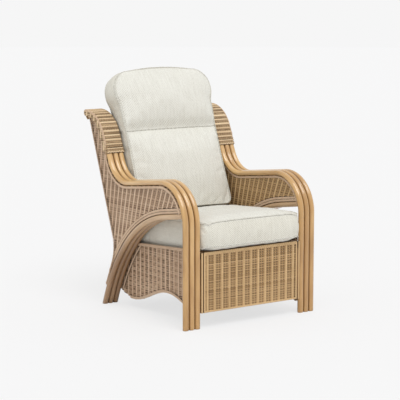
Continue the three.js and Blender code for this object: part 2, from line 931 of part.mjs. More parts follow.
function addPiece(name, solid, finish, group = chair) {
  const { vertProperties, triVerts } = solid.getMesh();
  const geometry = new THREE.BufferGeometry();
  geometry.setAttribute("position", new THREE.BufferAttribute(vertProperties, 3));
  geometry.setIndex(new THREE.BufferAttribute(triVerts, 1));
  geometry.computeVertexNormals();
  const mesh = new THREE.Mesh(geometry, new THREE.MeshStandardMaterial(finish));
  mesh.name = name;
  group.add(mesh);
}

// A piece of the right side, and its mirror image on the left.
function addPair(name, solid, finish) {
  for (const [side, sign] of Object.entries(sides)) {
    const own = sign > 0 ? solid : solid.mirror([1, 0, 0]);
    addPiece(side + "_" + name, own, finish);
  }
}

const places = ["outer", "middle", "inner"];
places.forEach((place, n) => {
  addPair("band_pole_" + place, bandPole(n), poleFinish);
  addPair("arch_pole_" + place, archPole(n), archFinish);
});
addPair("wing_wrap", wingWrap(), weaveFinish);
addPair("side_weave_outer", outerSkin(), weaveFinish);
addPair("side_weave_inner", innerSkin(), weaveFinish);
addPair("arch_plait_outer", archPlait(bandOuter, 1), weaveFinish);
addPair("arch_plait_inner", archPlait(archInner, -1), weaveFinish);
addPair("back_post", cornerPost(), railFinish);
addPair("side_apron", sideApron(), weaveFinish);
addPair("side_rail", sideRail(), railFinish);
addPair("edge_post", edgePost(), poleFinish);
addPiece("front_apron", frontApron(), weaveFinish);
addPiece("back_skin", backSkin(), weaveFinish);
addPiece("back_panel", backPanel(), weaveFinish);
const railShares = [0.06, 0.5, 0.94];
railShares.forEach((share, i) => addPiece("back_rail_" + (i + 1), backRail(share * backRun), railFinish));
addPiece("front_rail", crossRail(frontRailY, seatLine(frontRailY), apronInner - fit), railFinish);
addPiece("rear_rail", crossRail(rearRailY, seatLine(rearRailY), apronInner - fit), railFinish);
for (let n = 0; n < slatCount; n++) addPiece("seat_slat_" + (n + 1), slat(n), railFinish);
addPiece("seat_cushion", seatCushion(), clothFinish);
addPiece("back_cushion", backCushion(), clothFinish);

// Stand the chair over the middle of its footprint.
const extent = new THREE.Box3().setFromObject(chair);
chair.position.y = -(extent.min.y + extent.max.y) / 2;

export default chair;
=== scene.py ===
import math

import bmesh
import bpy
import numpy as np
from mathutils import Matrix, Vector


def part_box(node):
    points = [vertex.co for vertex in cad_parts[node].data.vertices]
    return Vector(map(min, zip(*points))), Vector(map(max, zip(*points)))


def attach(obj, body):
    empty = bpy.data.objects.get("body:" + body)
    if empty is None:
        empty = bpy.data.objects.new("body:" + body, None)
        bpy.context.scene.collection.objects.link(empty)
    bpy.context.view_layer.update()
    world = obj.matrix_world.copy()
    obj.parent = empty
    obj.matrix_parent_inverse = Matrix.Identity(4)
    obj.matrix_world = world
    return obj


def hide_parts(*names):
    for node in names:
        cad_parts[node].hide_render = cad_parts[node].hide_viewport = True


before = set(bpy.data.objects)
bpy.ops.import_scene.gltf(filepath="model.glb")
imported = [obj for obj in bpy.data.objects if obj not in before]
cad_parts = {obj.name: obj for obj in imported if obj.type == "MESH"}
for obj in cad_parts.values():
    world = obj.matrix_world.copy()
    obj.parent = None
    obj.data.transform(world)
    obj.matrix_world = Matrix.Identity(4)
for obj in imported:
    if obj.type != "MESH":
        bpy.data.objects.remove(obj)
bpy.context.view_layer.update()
dice = np.random.default_rng(11)
scene = bpy.context.scene
mm = 0.001

# the chair's side view, in millimetres and degrees: y = 0 is the front of the legs, z = 0 the floor
chair = dict(
    halfWidth=357, fit=0.3, poleWidth=29, poleDepth=24, legRise=450, armBend=170, armAngle=6.7, armRun=266,
    backBend=147, wingAngle=65, wingRun=136, wingCurl=148, wingEnd=-8, wrapStart=35,
    archDiameter=26, archY=24, archZ=495, archLevel=146.5, archAngle=8.5, archBend=560, kneeAngle=47.5,
    rearBend=850, rearAngle=68, rearRun=60, skirtY=655.668, skirtZ=101, skirtAngle=115.6, skirtRun=129,
    waistBend=150, backAngle=69.5, backRun=540.75, crestBend=40, crestAngle=35, seatAngle=4.3, seatTop=327,
    apronRise=13,
)
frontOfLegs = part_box("left_band_pole_outer")[0].y / mm
sides = (("left", -1), ("right", 1))


def sind(a):
    return np.sin(np.radians(a))


def cosd(a):
    return np.cos(np.radians(a))


# a side-view line of straight runs and bends; rows are y, z and heading
class Line:
    def __init__(self, y, z, heading):
        self.rows = [(y, z, heading)]

    def run(self, length, step=12):
        y, z, a = self.rows[-1]
        count = max(1, round(length / step))
        for d in np.linspace(0, length, count + 1)[1:]:
            self.rows.append((y + d * cosd(a), z + d * sind(a), a))
        return self

    def bend(self, radius, heading, step=3):
        y, z, a = self.rows[-1]
        turn = math.copysign(radius, heading - a)
        cy, cz = y - turn * sind(a), z + turn * cosd(a)
        count = math.ceil(abs(heading - a) / step)
        for now in np.linspace(a, heading, count + 1)[1:]:
            self.rows.append((cy + turn * sind(now), cz - turn * cosd(now), now))
        return self

    def table(self):
        return np.array(self.rows)


def together(*parts):  # numbers and arrays of numbers as one array of points
    return np.stack(np.broadcast_arrays(*[np.asarray(v, float) for v in parts]), -1)


def placed(x, y, z):  # side-view millimetres to the model's millimetres
    return together(x, y + frontOfLegs, z)


# a point so far along a heading and to the left of it, counted from y, z
def turned(x, along, left, y, z, heading):
    z = z + along * sind(heading) + left * cosd(heading)
    return placed(x, y + along * cosd(heading) - left * sind(heading), z)


def facing(x, left, heading):  # a direction sideways and to the left of a heading
    return together(x, -left * sind(heading), left * cosd(heading))


def moved(line, distance):  # the same line moved to the left of its heading
    y, z, heading = line.T
    return np.column_stack((y - distance * sind(heading), z + distance * cosd(heading), heading))


def lengthsAlong(points):
    return np.concatenate(([0], np.cumsum(np.linalg.norm(np.diff(points, axis=0), axis=1))))


def lengthsOf(line):
    return lengthsAlong(line[:, :2])


def onLine(line, at):  # y, z and heading at a length along the line
    s = lengthsOf(line)
    return [np.interp(at, s, line[:, i]) for i in range(3)]


def between(line, start, end, step):  # even points from one length along the line to another
    at = np.linspace(start, end, max(2, round((end - start) / step) + 1))
    return np.column_stack(onLine(line, at))


def unit(vectors):
    return vectors / np.linalg.norm(vectors, axis=1, keepdims=True)


def added(name, data):  # a new object in the scene
    obj = bpy.data.objects.new(name, data)
    scene.collection.objects.link(obj)
    return obj


def recorded(mesh, name, values):  # a number or a vector for every point of a mesh
    kind, key = ("FLOAT_VECTOR", "vector") if values.ndim == 2 else ("FLOAT", "value")
    mesh.attributes.new(name, kind, "POINT").data.foreach_set(key, values.astype(np.float32).ravel())


c = chair
bandLine = (
    Line(c["poleDepth"] / 2, 0, 90).run(c["legRise"]).bend(c["armBend"], -c["armAngle"]).run(c["armRun"])
    .bend(c["backBend"], c["wingAngle"]).run(c["wingRun"]).bend(c["wingCurl"], c["wingEnd"]).table()
)
archLine = (
    Line(c["archY"], c["archZ"], -c["archAngle"]).run(c["archLevel"]).bend(c["archBend"], -c["kneeAngle"])
    .bend(c["rearBend"], -c["rearAngle"]).run(c["rearRun"]).table()
)
backLine = (
    Line(c["skirtY"], c["skirtZ"], c["skirtAngle"]).run(c["skirtRun"]).bend(c["waistBend"], c["backAngle"])
    .run(c["backRun"]).bend(c["crestBend"], c["crestAngle"]).table()
)
wingStart = np.argmax(np.abs(bandLine[:, 2] - c["wingAngle"]) < 0.01)
wingFrom = lengthsOf(bandLine)[wingStart] + c["wrapStart"]
bandEnd = lengthsOf(bandLine)[-1]


cameraPlace = dict(place=(-3.7156, -5.37085, 1.4483), azimuth=-34.73, down=8.349, lens=129.32, film=36)


def makeCamera():
    data = bpy.data.cameras.new("camera")
    data.lens, data.sensor_width = cameraPlace["lens"], cameraPlace["film"]
    obj = added("camera", data)
    a, e = cameraPlace["azimuth"], cameraPlace["down"]
    back = Vector((sind(a) * cosd(e), -cosd(a) * cosd(e), sind(e)))
    obj.location = cameraPlace["place"]
    obj.rotation_euler = (-back).to_track_quat("-Z", "Y").to_euler()
    scene.camera = obj


# wraps a node's socket, so that shader maths reads as plain arithmetic
class Value:
    def __init__(self, finish, socket):
        self.finish, self.socket = finish, socket

    def maths(self, operation, *others):
        return self.finish.node("Math", {"operation": operation}, dict(enumerate((self, *others))))

    def __add__(self, other):
        return self.maths("ADD", other)

    def __radd__(self, other):
        return self.maths("ADD", other)

    def __sub__(self, other):
        return self.maths("SUBTRACT", other)

    def __rsub__(self, other):
        return self.finish.node("Math", {"operation": "SUBTRACT"}, {0: other, 1: self})

    def __mul__(self, other):
        return self.maths("MULTIPLY", other)

    def __rmul__(self, other):
        return self.maths("MULTIPLY", other)


# the nodes of one material, or of the world
class Finish:
    def __init__(self, name, owner=None):
        self.owner = owner or bpy.data.materials.new(name)
        self.owner.use_nodes = True
        self.tree = self.owner.node_tree
        self.tree.nodes.clear()

    def node(self, kind, settings=None, inputs=None, output=0):
        node = self.tree.nodes.new("ShaderNode" + kind)
        for key, value in (settings or {}).items():
            if key == "stops":
                ramp = node.color_ramp
                while len(ramp.elements) < len(value):
                    ramp.elements.new(0.5)
                for element, (place, colour) in zip(ramp.elements, value):
                    element.position, element.color = place, (*linear(colour), 1)
            else:
                setattr(node, key, value)
        for key, value in (inputs or {}).items():
            socket = self.pick(node.inputs, key)
            if isinstance(value, Value):
                self.tree.links.new(value.socket, socket)
            else:
                socket.default_value = value
        return Value(self, self.pick(node.outputs, output)) if len(node.outputs) else None

    def pick(self, sockets, key):
        if isinstance(key, int):
            return sockets[key]
        return next(s for s in sockets if s.name == key and s.enabled)

    def mixed(self, factor, a, b, blend="MIX"):
        colours = {k: (*linear(v), 1) if isinstance(v, tuple) else v for k, v in (("A", a), ("B", b))}
        settings = {"data_type": "RGBA", "blend_type": blend}
        return self.node("Mix", settings, {"Factor": factor, **colours}, "Result")

    def attribute(self, name, output="Fac"):
        return self.node("Attribute", {"attribute_name": name}, output=output)

    def scaled(self, vector, x, y, z):
        return self.node("VectorMath", {"operation": "MULTIPLY"}, {0: vector, 1: (x, y, z)})

    def noise(self, vector, scale, detail=2, rough=0.5):
        values = {"Vector": vector, "Scale": scale, "Detail": detail, "Roughness": rough}
        return self.node("TexNoise", None, values, "Fac")

    def ranged(self, value, low, high, to0=0.0, to1=1.0, soft=True):
        settings = {"interpolation_type": "SMOOTHSTEP" if soft else "LINEAR"}
        return self.node("MapRange", settings, {0: value, 1: low, 2: high, 3: to0, 4: to1})

    def ramp(self, value, *stops):
        return self.node("ValToRGB", {"stops": stops}, {"Fac": value}, "Color")

    def bump(self, height, strength, distance):
        values = {"Strength": strength, "Distance": distance, "Height": height}
        return self.node("Bump", None, values, "Normal")

    def surface(self, shader, inputs):
        out = self.node(shader, None, inputs)
        self.node("OutputMaterial", None, {"Surface": out})
        return self.owner


def linear(colour):  # 0-255 as seen on screen to scene light
    shares = [v / 255 for v in colour]
    return tuple(v / 12.92 if v <= 0.04045 else ((v + 0.055) / 1.055) ** 2.4 for v in shares)


studio = dict(
    background=(246, 246, 246), floor=(241, 241, 242), shade=(230, 230, 232), fill=0.68, sun=1.5, softness=38,
    sunFrom=(-0.15, -0.66, 1.22), paperGlow=0.76, paperRough=0.9, floorRadius=30, floorDrop=0.0005,
)


def makeStudio():
    room = Finish("studio", bpy.data.worlds.new("studio"))
    scene.world = room.owner
    kinds = ("Is Camera Ray", "Is Glossy Ray", "Is Transmission Ray")
    direct, glossy, through = [room.node("LightPath", output=kind) for kind in kinds]
    seenRay = direct.maths("MAXIMUM", glossy).maths("MAXIMUM", through)
    light = room.node("Background", None, {"Color": (1, 1, 1, 1), "Strength": studio["fill"]})
    seen = room.node("Background", None, {"Color": (*linear(studio["background"]), 1)})
    mix = room.node("MixShader", None, {0: seenRay, 1: light, 2: seen})
    room.node("OutputWorld", None, {"Surface": mix})

    key = bpy.data.lights.new("key", "SUN")
    key.energy, key.angle = studio["sun"], math.radians(studio["softness"])
    lamp = added("key", key)
    lamp.rotation_euler = Vector(studio["sunFrom"]).to_track_quat("Z", "Y").to_euler()

    floor = bpy.data.meshes.new("floor")
    bm = bmesh.new()
    bmesh.ops.create_circle(bm, cap_ends=True, segments=64, radius=studio["floorRadius"])
    bm.to_mesh(floor)
    bm.free()
    ground = added("floor", floor)
    ground.location.z = -studio["floorDrop"]
    paper = Finish("paperSweep")
    shade = paper.noise(paper.node("TexCoord", output="Object"), 0.6)
    colour = paper.mixed(paper.ranged(shade, 0.3, 0.7, 0, 0.04), studio["floor"], studio["shade"])
    sheet = paper.node("BsdfPrincipled", None, {"Base Color": colour, "Roughness": studio["paperRough"]})
    seen = paper.node("Emission", None, {"Color": (*linear(studio["background"]), 1)})
    glow = paper.node("LightPath", output="Is Camera Ray") * studio["paperGlow"]
    floor.materials.append(paper.surface("MixShader", {0: glow, 1: sheet, 2: seen}))


scene.view_settings.view_transform = "Standard"
makeCamera()
makeStudio()
print("camera and studio ready")


# gathers strands and skins, in model millimetres, into one mesh
class Bundle:
    def __init__(self):
        self.parts = []
        self.total = 0

    def add(self, points, faces, grain, tone, lift, kind=0):
        count = len(points)
        wide = [np.broadcast_to(np.asarray(v, float), (count,)) for v in (tone, lift)]
        self.parts.append((points, faces + self.total, grain, *wide, np.full(len(faces), kind)))
        self.total += count

    # a strand swept along a path; normal is the way its flat side faces
    def strand(self, path, normal, width, height, tone, lift=0, sides=6, closed=False, kind=0, size=1):
        path = np.asarray(path, float)
        tangent = np.roll(path, -1, 0) - np.roll(path, 1, 0) if closed else np.gradient(path, axis=0)
        tangent = unit(tangent)
        across = unit(np.cross(tangent, np.broadcast_to(normal, path.shape)))
        up = np.cross(across, tangent)
        angle = (np.arange(sides) + 0.5) * 2 * np.pi / sides
        size, tone, lift = (np.broadcast_to(np.asarray(v, float), len(path)) for v in (size, tone, lift))
        w, h = np.cos(angle)[:, None] * width / 2, np.sin(angle)[:, None] * height / 2
        rings = path[:, None] + size[:, None, None] * (across[:, None] * w + up[:, None] * h)
        start = dice.uniform(0, 900, 3)
        grain = together(w.T + start[0], h.T + start[1], lengthsAlong(path)[:, None] + start[2])
        self.skin(rings, grain, np.repeat(tone, sides), np.repeat(lift, sides), kind, closed)

    # a skin over rings of equal length, with ends where it isn't closed
    def skin(self, rings, grain, tone, lift=0, kind=0, closed=False):
        faces = ringFaces(*rings.shape[:2], closed)
        self.add(rings.reshape(-1, 3), faces, grain.reshape(-1, 3), tone, lift, kind)

    def build(self, name, finish, body="frame", stands=(), slotName="weave"):
        points, grain, tone, lift = (np.concatenate([p[i] for p in self.parts]) for i in (0, 2, 3, 4))
        faces, kinds = (np.concatenate([p[i] for p in self.parts]) for i in (1, 5))
        mesh = bpy.data.meshes.new(name)
        mesh.vertices.add(len(points))
        mesh.vertices.foreach_set("co", (points * mm).astype(np.float32).ravel())
        mesh.loops.add(faces.size)
        mesh.loops.foreach_set("vertex_index", faces.astype(np.int32).ravel())
        mesh.polygons.add(len(faces))
        mesh.polygons.foreach_set("loop_start", np.arange(0, faces.size, 4, dtype=np.int32))
        mesh.update(calc_edges=True)
        mesh.polygons.foreach_set("material_index", kinds.astype(np.int32))
        mesh.polygons.foreach_set("use_smooth", np.ones(len(faces), bool))
        for key, values in (("grain", grain * mm), ("tone", tone), ("lift", lift)):
            recorded(mesh, key, values)
        mesh.validate()
        obj = added(name, mesh)
        mesh.materials.append(finish)
        if kinds.any():
            mesh.materials.append(shadowWicker)
        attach(obj, body)
        if stands:
            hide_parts(*stands)


def ringFaces(n, sides, closed):
    k = np.arange(sides)
    i = np.arange(n if closed else n - 1)[:, None]
    j = (i + 1) % n
    after = (k + 1) % sides
    faces = np.stack((i * sides + k, j * sides + k, j * sides + after, i * sides + after), -1).reshape(-1, 4)
    if closed:
        return faces
    caps = [(0, a, a + 1, a + 2) for a in range(1, sides - 2, 2)]
    ends = [[(n - 1) * sides + v for v in reversed(cap)] for cap in caps]
    return np.concatenate((faces, np.array(caps), np.array(ends)))


caneLook = dict(fibres=(700, 700, 9), clouds=(30, 30, 6), flecks=(420, 420, 40), coat=0.8, coatRough=0.12)
wickerLook = dict(
    fibres=(900, 900, 60), patches=9, blotches=34, blotchStretch=(1, 1, 0.4), hollowShade=(70, 48, 30),
)


def strandFinish(name):
    f = Finish(name)
    return f, f.attribute("grain", "Vector"), f.attribute("tone"), f.attribute("lift")


def caneFinish(name, pale, mid, deep, grooveShade, gloss):
    f, grain, tone, lift = strandFinish(name)
    fibres = f.noise(f.scaled(grain, *caneLook["fibres"]), 1, 3, 0.6)
    clouds = f.noise(f.scaled(grain, *caneLook["clouds"]), 1, 3, 0.55)
    share = fibres * 0.35 + clouds * 0.5 + tone * 0.3 - 0.08
    colour = f.ramp(share, (0.25, deep), (0.5, mid), (0.78, pale))
    flecks = f.ranged(f.noise(f.scaled(grain, *caneLook["flecks"]), 1, 2, 0.5), 0.66, 0.74)
    colour = f.mixed(flecks * 0.35, colour, deep)
    # painted shade: darker towards the neighbouring pole, and the groove colour where the poles meet
    colour = f.mixed(f.ranged(lift, 0.0, 0.5, 0, 0.55, False), colour, deep)
    colour = f.mixed(f.ranged(lift, 0.5, 0.85), colour, grooveShade)
    return f.surface("BsdfPrincipled", {
        "Base Color": colour, "Roughness": gloss + fibres * 0.12,
        "Coat Weight": caneLook["coat"], "Coat Roughness": caneLook["coatRough"],
        "Normal": f.bump(fibres * 0.5 + clouds, 0.25, 0.0012),
    })


def wickerFinish(name, places, colours, rough=0.62):
    f, grain, tone, lift = strandFinish(name)
    where = f.node("TexCoord", output="Object")
    fibres = f.noise(f.scaled(grain, *wickerLook["fibres"]), 1, 3, 0.6)
    patches = f.noise(where, wickerLook["patches"], 3, 0.55)
    # painted light and shade: a strand's colour is lighter where it rises and darker where it dips
    share = tone * 0.55 + fibres * 0.22 + patches * 0.35 + lift * 0.1 - 0.02
    colour = f.ramp(share, *zip(places, colours))
    blotches = f.noise(f.scaled(where, *wickerLook["blotchStretch"]), wickerLook["blotches"], 2, 0.5)
    colour = f.mixed(f.ranged(blotches, 0.45, 0.7, 0, 0.35), colour, colours[-2])
    # painted shade: dipped strands and the dark core turn towards the hollow colour
    colour = f.mixed(f.ranged(lift, -0.9, -0.2, 0.85, 0), colour, wickerLook["hollowShade"])
    return f.surface("BsdfPrincipled", {
        "Base Color": colour, "Roughness": rough + fibres * 0.15, "Coat Weight": 0.08,
        "Normal": f.bump(fibres, 0.35, 0.0008),
    })


poleCane = caneFinish("honeyCane", (232, 194, 134), (196, 153, 94), (152, 108, 58), (58, 32, 12), 0.26)
archCane = caneFinish("smokedCane", (224, 192, 150), (192, 156, 114), (150, 114, 78), (66, 44, 26), 0.3)
# two copies of one wicker: the greyer one is painted shade, for the faces away from the light, and the golden
# one is painted light, for the front, the inner sides and the back panel
shadeSideWicker = wickerFinish(
    "wickerWithPaintedShade", (0.08, 0.38, 0.62, 0.9),
    [(112, 86, 66), (173, 143, 115), (198, 168, 139), (220, 194, 166)],
)
litWicker = wickerFinish(
    "wickerWithPaintedLight", (0.08, 0.38, 0.62, 0.9),
    [(108, 78, 48), (166, 132, 88), (192, 158, 112), (220, 188, 142)],
)
bandWicker = wickerFinish(
    "oliveWicker", (0.08, 0.35, 0.6, 0.9),
    [(98, 76, 50), (160, 132, 96), (199, 170, 132), (234, 209, 171)],
)
shadowWicker = wickerFinish("shadedWicker", (0.2, 0.8), [(62, 44, 32), (98, 74, 54)], 0.8)


poleShape = dict(
    corner=9, crown=1.4, cornerPoints=6, facePoints=3, roundPoints=20, bevel=1.6, endShrink=0.88,
)
bandPoles = dict(
    seamAt=(0.45, 0.8, 0.91, 1), seam=(0, 0.4, 0.7, 1), shadeAt=(150, 520, 900), shade=(-0.26, 0, 0.2),
    spread=(0.3, 0.7), finish=poleCane, slot="pole",
)
archPoles = dict(
    seamAt=(0.4, 0.88, 0.97, 1), seam=(0, 0.42, 0.7, 1), shadeAt=(200, 620), shade=(0.55, -0.35),
    spread=(-0.15, 0.15), finish=archCane, slot="arch_pole", ahead=0.5,
)


def poleSection(width, depth):  # a rounded bar with crowned faces, counter-clockwise
    p = poleShape
    crown, r = p["crown"], p["corner"]
    a, b = width / 2 - crown - r, depth / 2 - crown - r
    rows = []
    for turn, cx, cy, side in ((0, a, b, a), (90, -a, b, b), (180, -a, -b, a), (270, a, -b, b)):
        for angle in np.linspace(turn, turn + 90, p["cornerPoints"]):
            rows.append((cx + r * cosd(angle), cy + r * sind(angle)))
        ax, ay = rows[-1]
        for share in np.linspace(0, 1, p["facePoints"] + 2)[1:-1]:
            bulge = crown * (1 - (2 * share - 1) ** 2)
            rows.append((
                ax - 2 * side * share * cosd(turn) + bulge * cosd(turn + 90),
                ay - 2 * side * share * sind(turn) + bulge * sind(turn + 90),
            ))
    return np.array(rows)


def sweptPole(line, x, section):
    y, z, heading = line.T[:, :, None]
    sx, sn = section.T
    rings = turned(x + sx, 0, sn, y, z, heading)
    start = dice.uniform(0, 900, 2)
    return rings, together(sx + start[0], sn + start[1], lengthsOf(line)[:, None])


def polePlaces(width):  # three poles side by side on each side of the chair
    for side, sign in sides:
        for n, place in enumerate(("outer", "middle", "inner")):
            yield side, sign, place, n, sign * (c["halfWidth"] - width / 2 - n * (width + c["fit"]))


# darker towards the pole beside it, as painted shade that deepens into the groove between them; along the
# line, painted light and shade that is darker towards the floor, with a random tone for each pole
def buildPole(name, line, section, rings, grain, sign, n, w):
    share = np.abs(section[:, 0]) / section[:, 0].max()
    outward = np.sign(section[:, 0]) == sign
    seam = np.interp(share, w["seamAt"], w["seam"]) * np.where(outward, n > 0, n < 2)
    shade = np.interp(lengthsOf(line), w["shadeAt"], w["shade"]) + dice.uniform(*w["spread"])
    bundle = Bundle()
    bundle.skin(rings, grain, np.repeat(shade, len(section)), np.tile(seam, len(line)))
    bundle.build("cane_" + name, w["finish"], stands=[name], slotName=w["slot"])


def buildBands():
    section = poleSection(c["poleWidth"], c["poleDepth"])
    line = np.vstack((bandLine[0], bandLine[0] + (0, poleShape["bevel"], 0), bandLine[1:]))
    for side, sign, place, n, x in polePlaces(c["poleWidth"]):
        rings, grain = sweptPole(line, x, section)
        foot = placed(x, line[0, 0], 0)
        rings[0] = foot + (rings[0] - foot) * poleShape["endShrink"]
        buildPole(f"{side}_band_pole_{place}", line, section, rings, grain, sign, n, bandPoles)


def buildArches():
    d = c["archDiameter"]
    angle = np.arange(poleShape["roundPoints"]) * 2 * np.pi / poleShape["roundPoints"]
    section = np.column_stack((np.cos(angle), np.sin(angle))) * d / 2
    frontFace = c["poleDepth"] + c["fit"] + frontOfLegs
    line = archLine[:np.argmax(archLine[:, 1] < d) + 1]
    slope = 1 / math.tan(math.radians(line[-1, 2]))
    for side, sign, place, n, x in polePlaces(d):
        rings, grain = sweptPole(line, x, section)
        rings[0, :, 1] = np.maximum(rings[0, :, 1], frontFace)
        rings[1, :, 1] = np.maximum(rings[1, :, 1], frontFace + archPoles["ahead"])
        for row, height in ((-2, poleShape["bevel"]), (-1, 0)):
            drop = rings[row, :, 2] - height
            rings[row, :, 1] -= drop * slope
            rings[row, :, 2] = height
        middle = rings[-1].mean(0)
        rings[-1] = middle + (rings[-1] - middle) * poleShape["endShrink"]
        buildPole(f"{side}_arch_pole_{place}", line, section, rings, grain, sign, n, archPoles)


buildBands()
buildArches()
print("poles bent")


# the edge of a CAD node's flat face at x, as points of y and z
def cadOutline(node, x):
    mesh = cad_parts[node].data
    co = np.array([v.co for v in mesh.vertices]) / mm
    edges = {}
    for poly in mesh.polygons:
        ids = list(poly.vertices)
        if all(abs(co[i, 0] - x) < 0.05 for i in ids):
            keys = [tuple(np.round(co[i, 1:], 2)) for i in ids]
            edges.update(dict.fromkeys(zip(keys, keys[1:] + keys[:1])))
    after = {a: b for (a, b) in edges if (b, a) not in edges}
    loop = [next(iter(after))]
    while after[loop[-1]] != loop[0] and len(loop) < len(after):
        loop.append(after[loop[-1]])
    return np.array(loop)


def mirrored(*right):  # a closed outline from its right half
    right = np.array(right, float)
    return np.concatenate((right, (right * (-1, 1))[::-1]))


def spans(outline, v):  # the parts of a row at height v that lie inside an outline
    a, b = outline, np.roll(outline, -1, 0)
    cross = (a[:, 1] > v) != (b[:, 1] > v)
    a, b = a[cross], b[cross]
    at = np.sort(a[:, 0] + (v - a[:, 1]) / (b[:, 1] - a[:, 1]) * (b[:, 0] - a[:, 0]))
    return at.reshape(-1, 2)


def inside(outline, u, v):
    a, b = outline[:, None], np.roll(outline, -1, 0)[:, None]
    cross = (a[..., 1] > v) != (b[..., 1] > v)
    with np.errstate(divide="ignore", invalid="ignore"):
        at = a[..., 0] + (v - a[..., 1]) / (b[..., 1] - a[..., 1]) * (b[..., 0] - a[..., 0])
    return (cross & (u < at)).sum(0) % 2 == 1


# rows of weft go behind the pale stakes, and every other row dips twice between two of them;
# an upper bundle takes the rows above the middle
def weave(bundle, outline, stakesAt, place, w, upper=None):
    low, high = outline[:, 1].min(), outline[:, 1].max()
    rows = np.arange(low + w["margin"], high - w["margin"], w["rowPitch"])
    for number, v in enumerate(rows):
        stakes = stakesAt(v)
        row = upper if upper and 2 * v > low + high else bundle
        for a, b in spans(outline, v):
            a, b = a + w["margin"], b - w["margin"]
            if b - a < 2 * w["step"]:
                continue
            u = np.linspace(a, b, max(3, round((b - a) / w["step"])))
            share = np.interp(u, stakes, np.arange(len(stakes))) % 1
            wave = np.where(np.abs(share - 0.5) < 1 / 3, np.sin(3 * np.pi * (share - 1 / 6)) ** 2, 0)
            rise = wave * (w["swing"] if number % 2 else -w["dip"])
            rise = rise - w["behind"] * np.clip(np.cos(2 * np.pi * share), 0, 1)
            path, normal = place(u, v + dice.normal(0, w["waver"]), w["depth"] + rise)
            # the weft's rise, which the wicker finish paints as light where it swings out and as shade where
            # it dips behind the stakes
            lift = np.clip(rise / w["dip"], -1, 1)
            row.strand(path, normal, w["weftWidth"], w["weftHeight"], dice.uniform(*w["weftTone"]), lift)
    v = np.arange(low + 1, high - 1, w["rowPitch"] / 2)
    beads = np.cos(np.pi * (v - low) / w["rowPitch"])
    for i in range(len(stakesAt(low))):
        u = np.array([stakesAt(t)[i] for t in v])
        ok = inside(outline, u, v)
        edges = np.flatnonzero(np.diff(np.concatenate(([0], ok.astype(int), [0]))))
        for a, b in edges.reshape(-1, 2):
            if b - a > 5:
                bead = beads[a:b]
                path, normal = place(u[a:b] + w["wander"] * bead, v[a:b], w["stakeDepth"])
                # painted light and shade: lighter where a stake swells into a bead, darker at its necks
                tone = dice.uniform(*w["stakeTone"]) + w["beadTone"] * bead
                size = 1 + w["bead"] * bead
                bundle.strand(path, normal, w["stakeWidth"], w["stakeHeight"], tone, 0.3, size=size)


def lining(bundle, outline, place, w, step=10, cut=60):  # a core of painted shade, in the shadowed wicker, behind a panel's weave, row by row
    low, high = outline[:, 1].min() + 0.5, outline[:, 1].max() - 0.5
    heights = np.linspace(low, high, max(2, round((high - low) / step)))
    back, front = w["core"]
    for v0, v1 in zip(heights, heights[1:]):
        lower, upper = spans(outline, v0), spans(outline, v1)
        if len(lower) != len(upper):
            lower = upper = spans(outline, (v0 + v1) / 2)
        for (a0, b0), (a1, b1) in zip(lower, upper):
            cuts = max(1, round(max(b0 - a0, b1 - a1) / cut))
            t = np.linspace(0, 1, cuts + 1)
            u = np.concatenate((a0 + (b0 - a0) * t, a1 + (b1 - a1) * t))
            v = np.repeat((v0, v1), cuts + 1)
            k = np.arange(cuts)
            faces = np.stack((k, k + 1, k + cuts + 2, k + cuts + 1), -1)
            for depth, turn in ((front, 1), (back, -1)):
                points = place(u, v, depth)[0]
                bundle.add(points, faces[:, ::turn], points, 0.3, -1, 1)


def buildPanel(node, outline, stakesAt, place, w, finish):
    bundle = Bundle()
    weave(bundle, outline, stakesAt, place, w)
    lining(bundle, outline, place, w)
    bundle.build("woven_" + node, finish, stands=[node])


def sidePlace(x, outward):  # u runs along y, v up, and depth out from x
    def place(u, v, depth):
        return together(x + outward * depth, u, v), np.array((outward, 0.0, 0.0))
    return place


sidePanel = dict(
    rowPitch=5.3, weftWidth=5.4, weftHeight=3.4, weftTone=(0.12, 0.86), step=4.4, margin=1.2, waver=0.35,
    behind=0.4, swing=0.9, dip=2.1, depth=3.2, core=(0.4, 2.2), x=346, wander=0.5,
    stakeDepth=4.4, stakeWidth=9.6, stakeHeight=4.4, stakeTone=(0.75, 1.1), bead=0.1, beadTone=0.12,
    pitch=33.5, first=-260, last=1100, lean0=7, lean1=25, leanHeight=520, leanFrom=100, leanOver=540,
)
innerPanel = dict(sidePanel, weftTone=(0.25, 0.9), stakeTone=(0.75, 1.05), x=289.1)
apronPanel = dict(
    sidePanel, pitch=34.5, lean0=0, lean1=0, first=0, last=760, margin=1, core=(2, 2.2), x=267.3,
)
apronInside = dict(apronPanel, step=9, depth=1.6, stakeDepth=2, stakeHeight=3.4, dip=1.2, swing=0, x=271)


def fanned(w):  # stakes that lean forward more towards the front
    foot = np.arange(w["first"], w["last"], w["pitch"])
    share = np.clip((foot - w["leanFrom"]) / w["leanOver"], 0, 1)
    lean = np.tan(np.radians(w["lean1"] + (w["lean0"] - w["lean1"]) * share))
    return lambda v: foot - (v - w["leanHeight"]) * lean + frontOfLegs


def evenStakes(w):  # upright, to both sides of the middle
    stakes = np.arange(-w["stakes"], w["stakes"] + 1) * w["pitch"]
    return lambda v: stakes


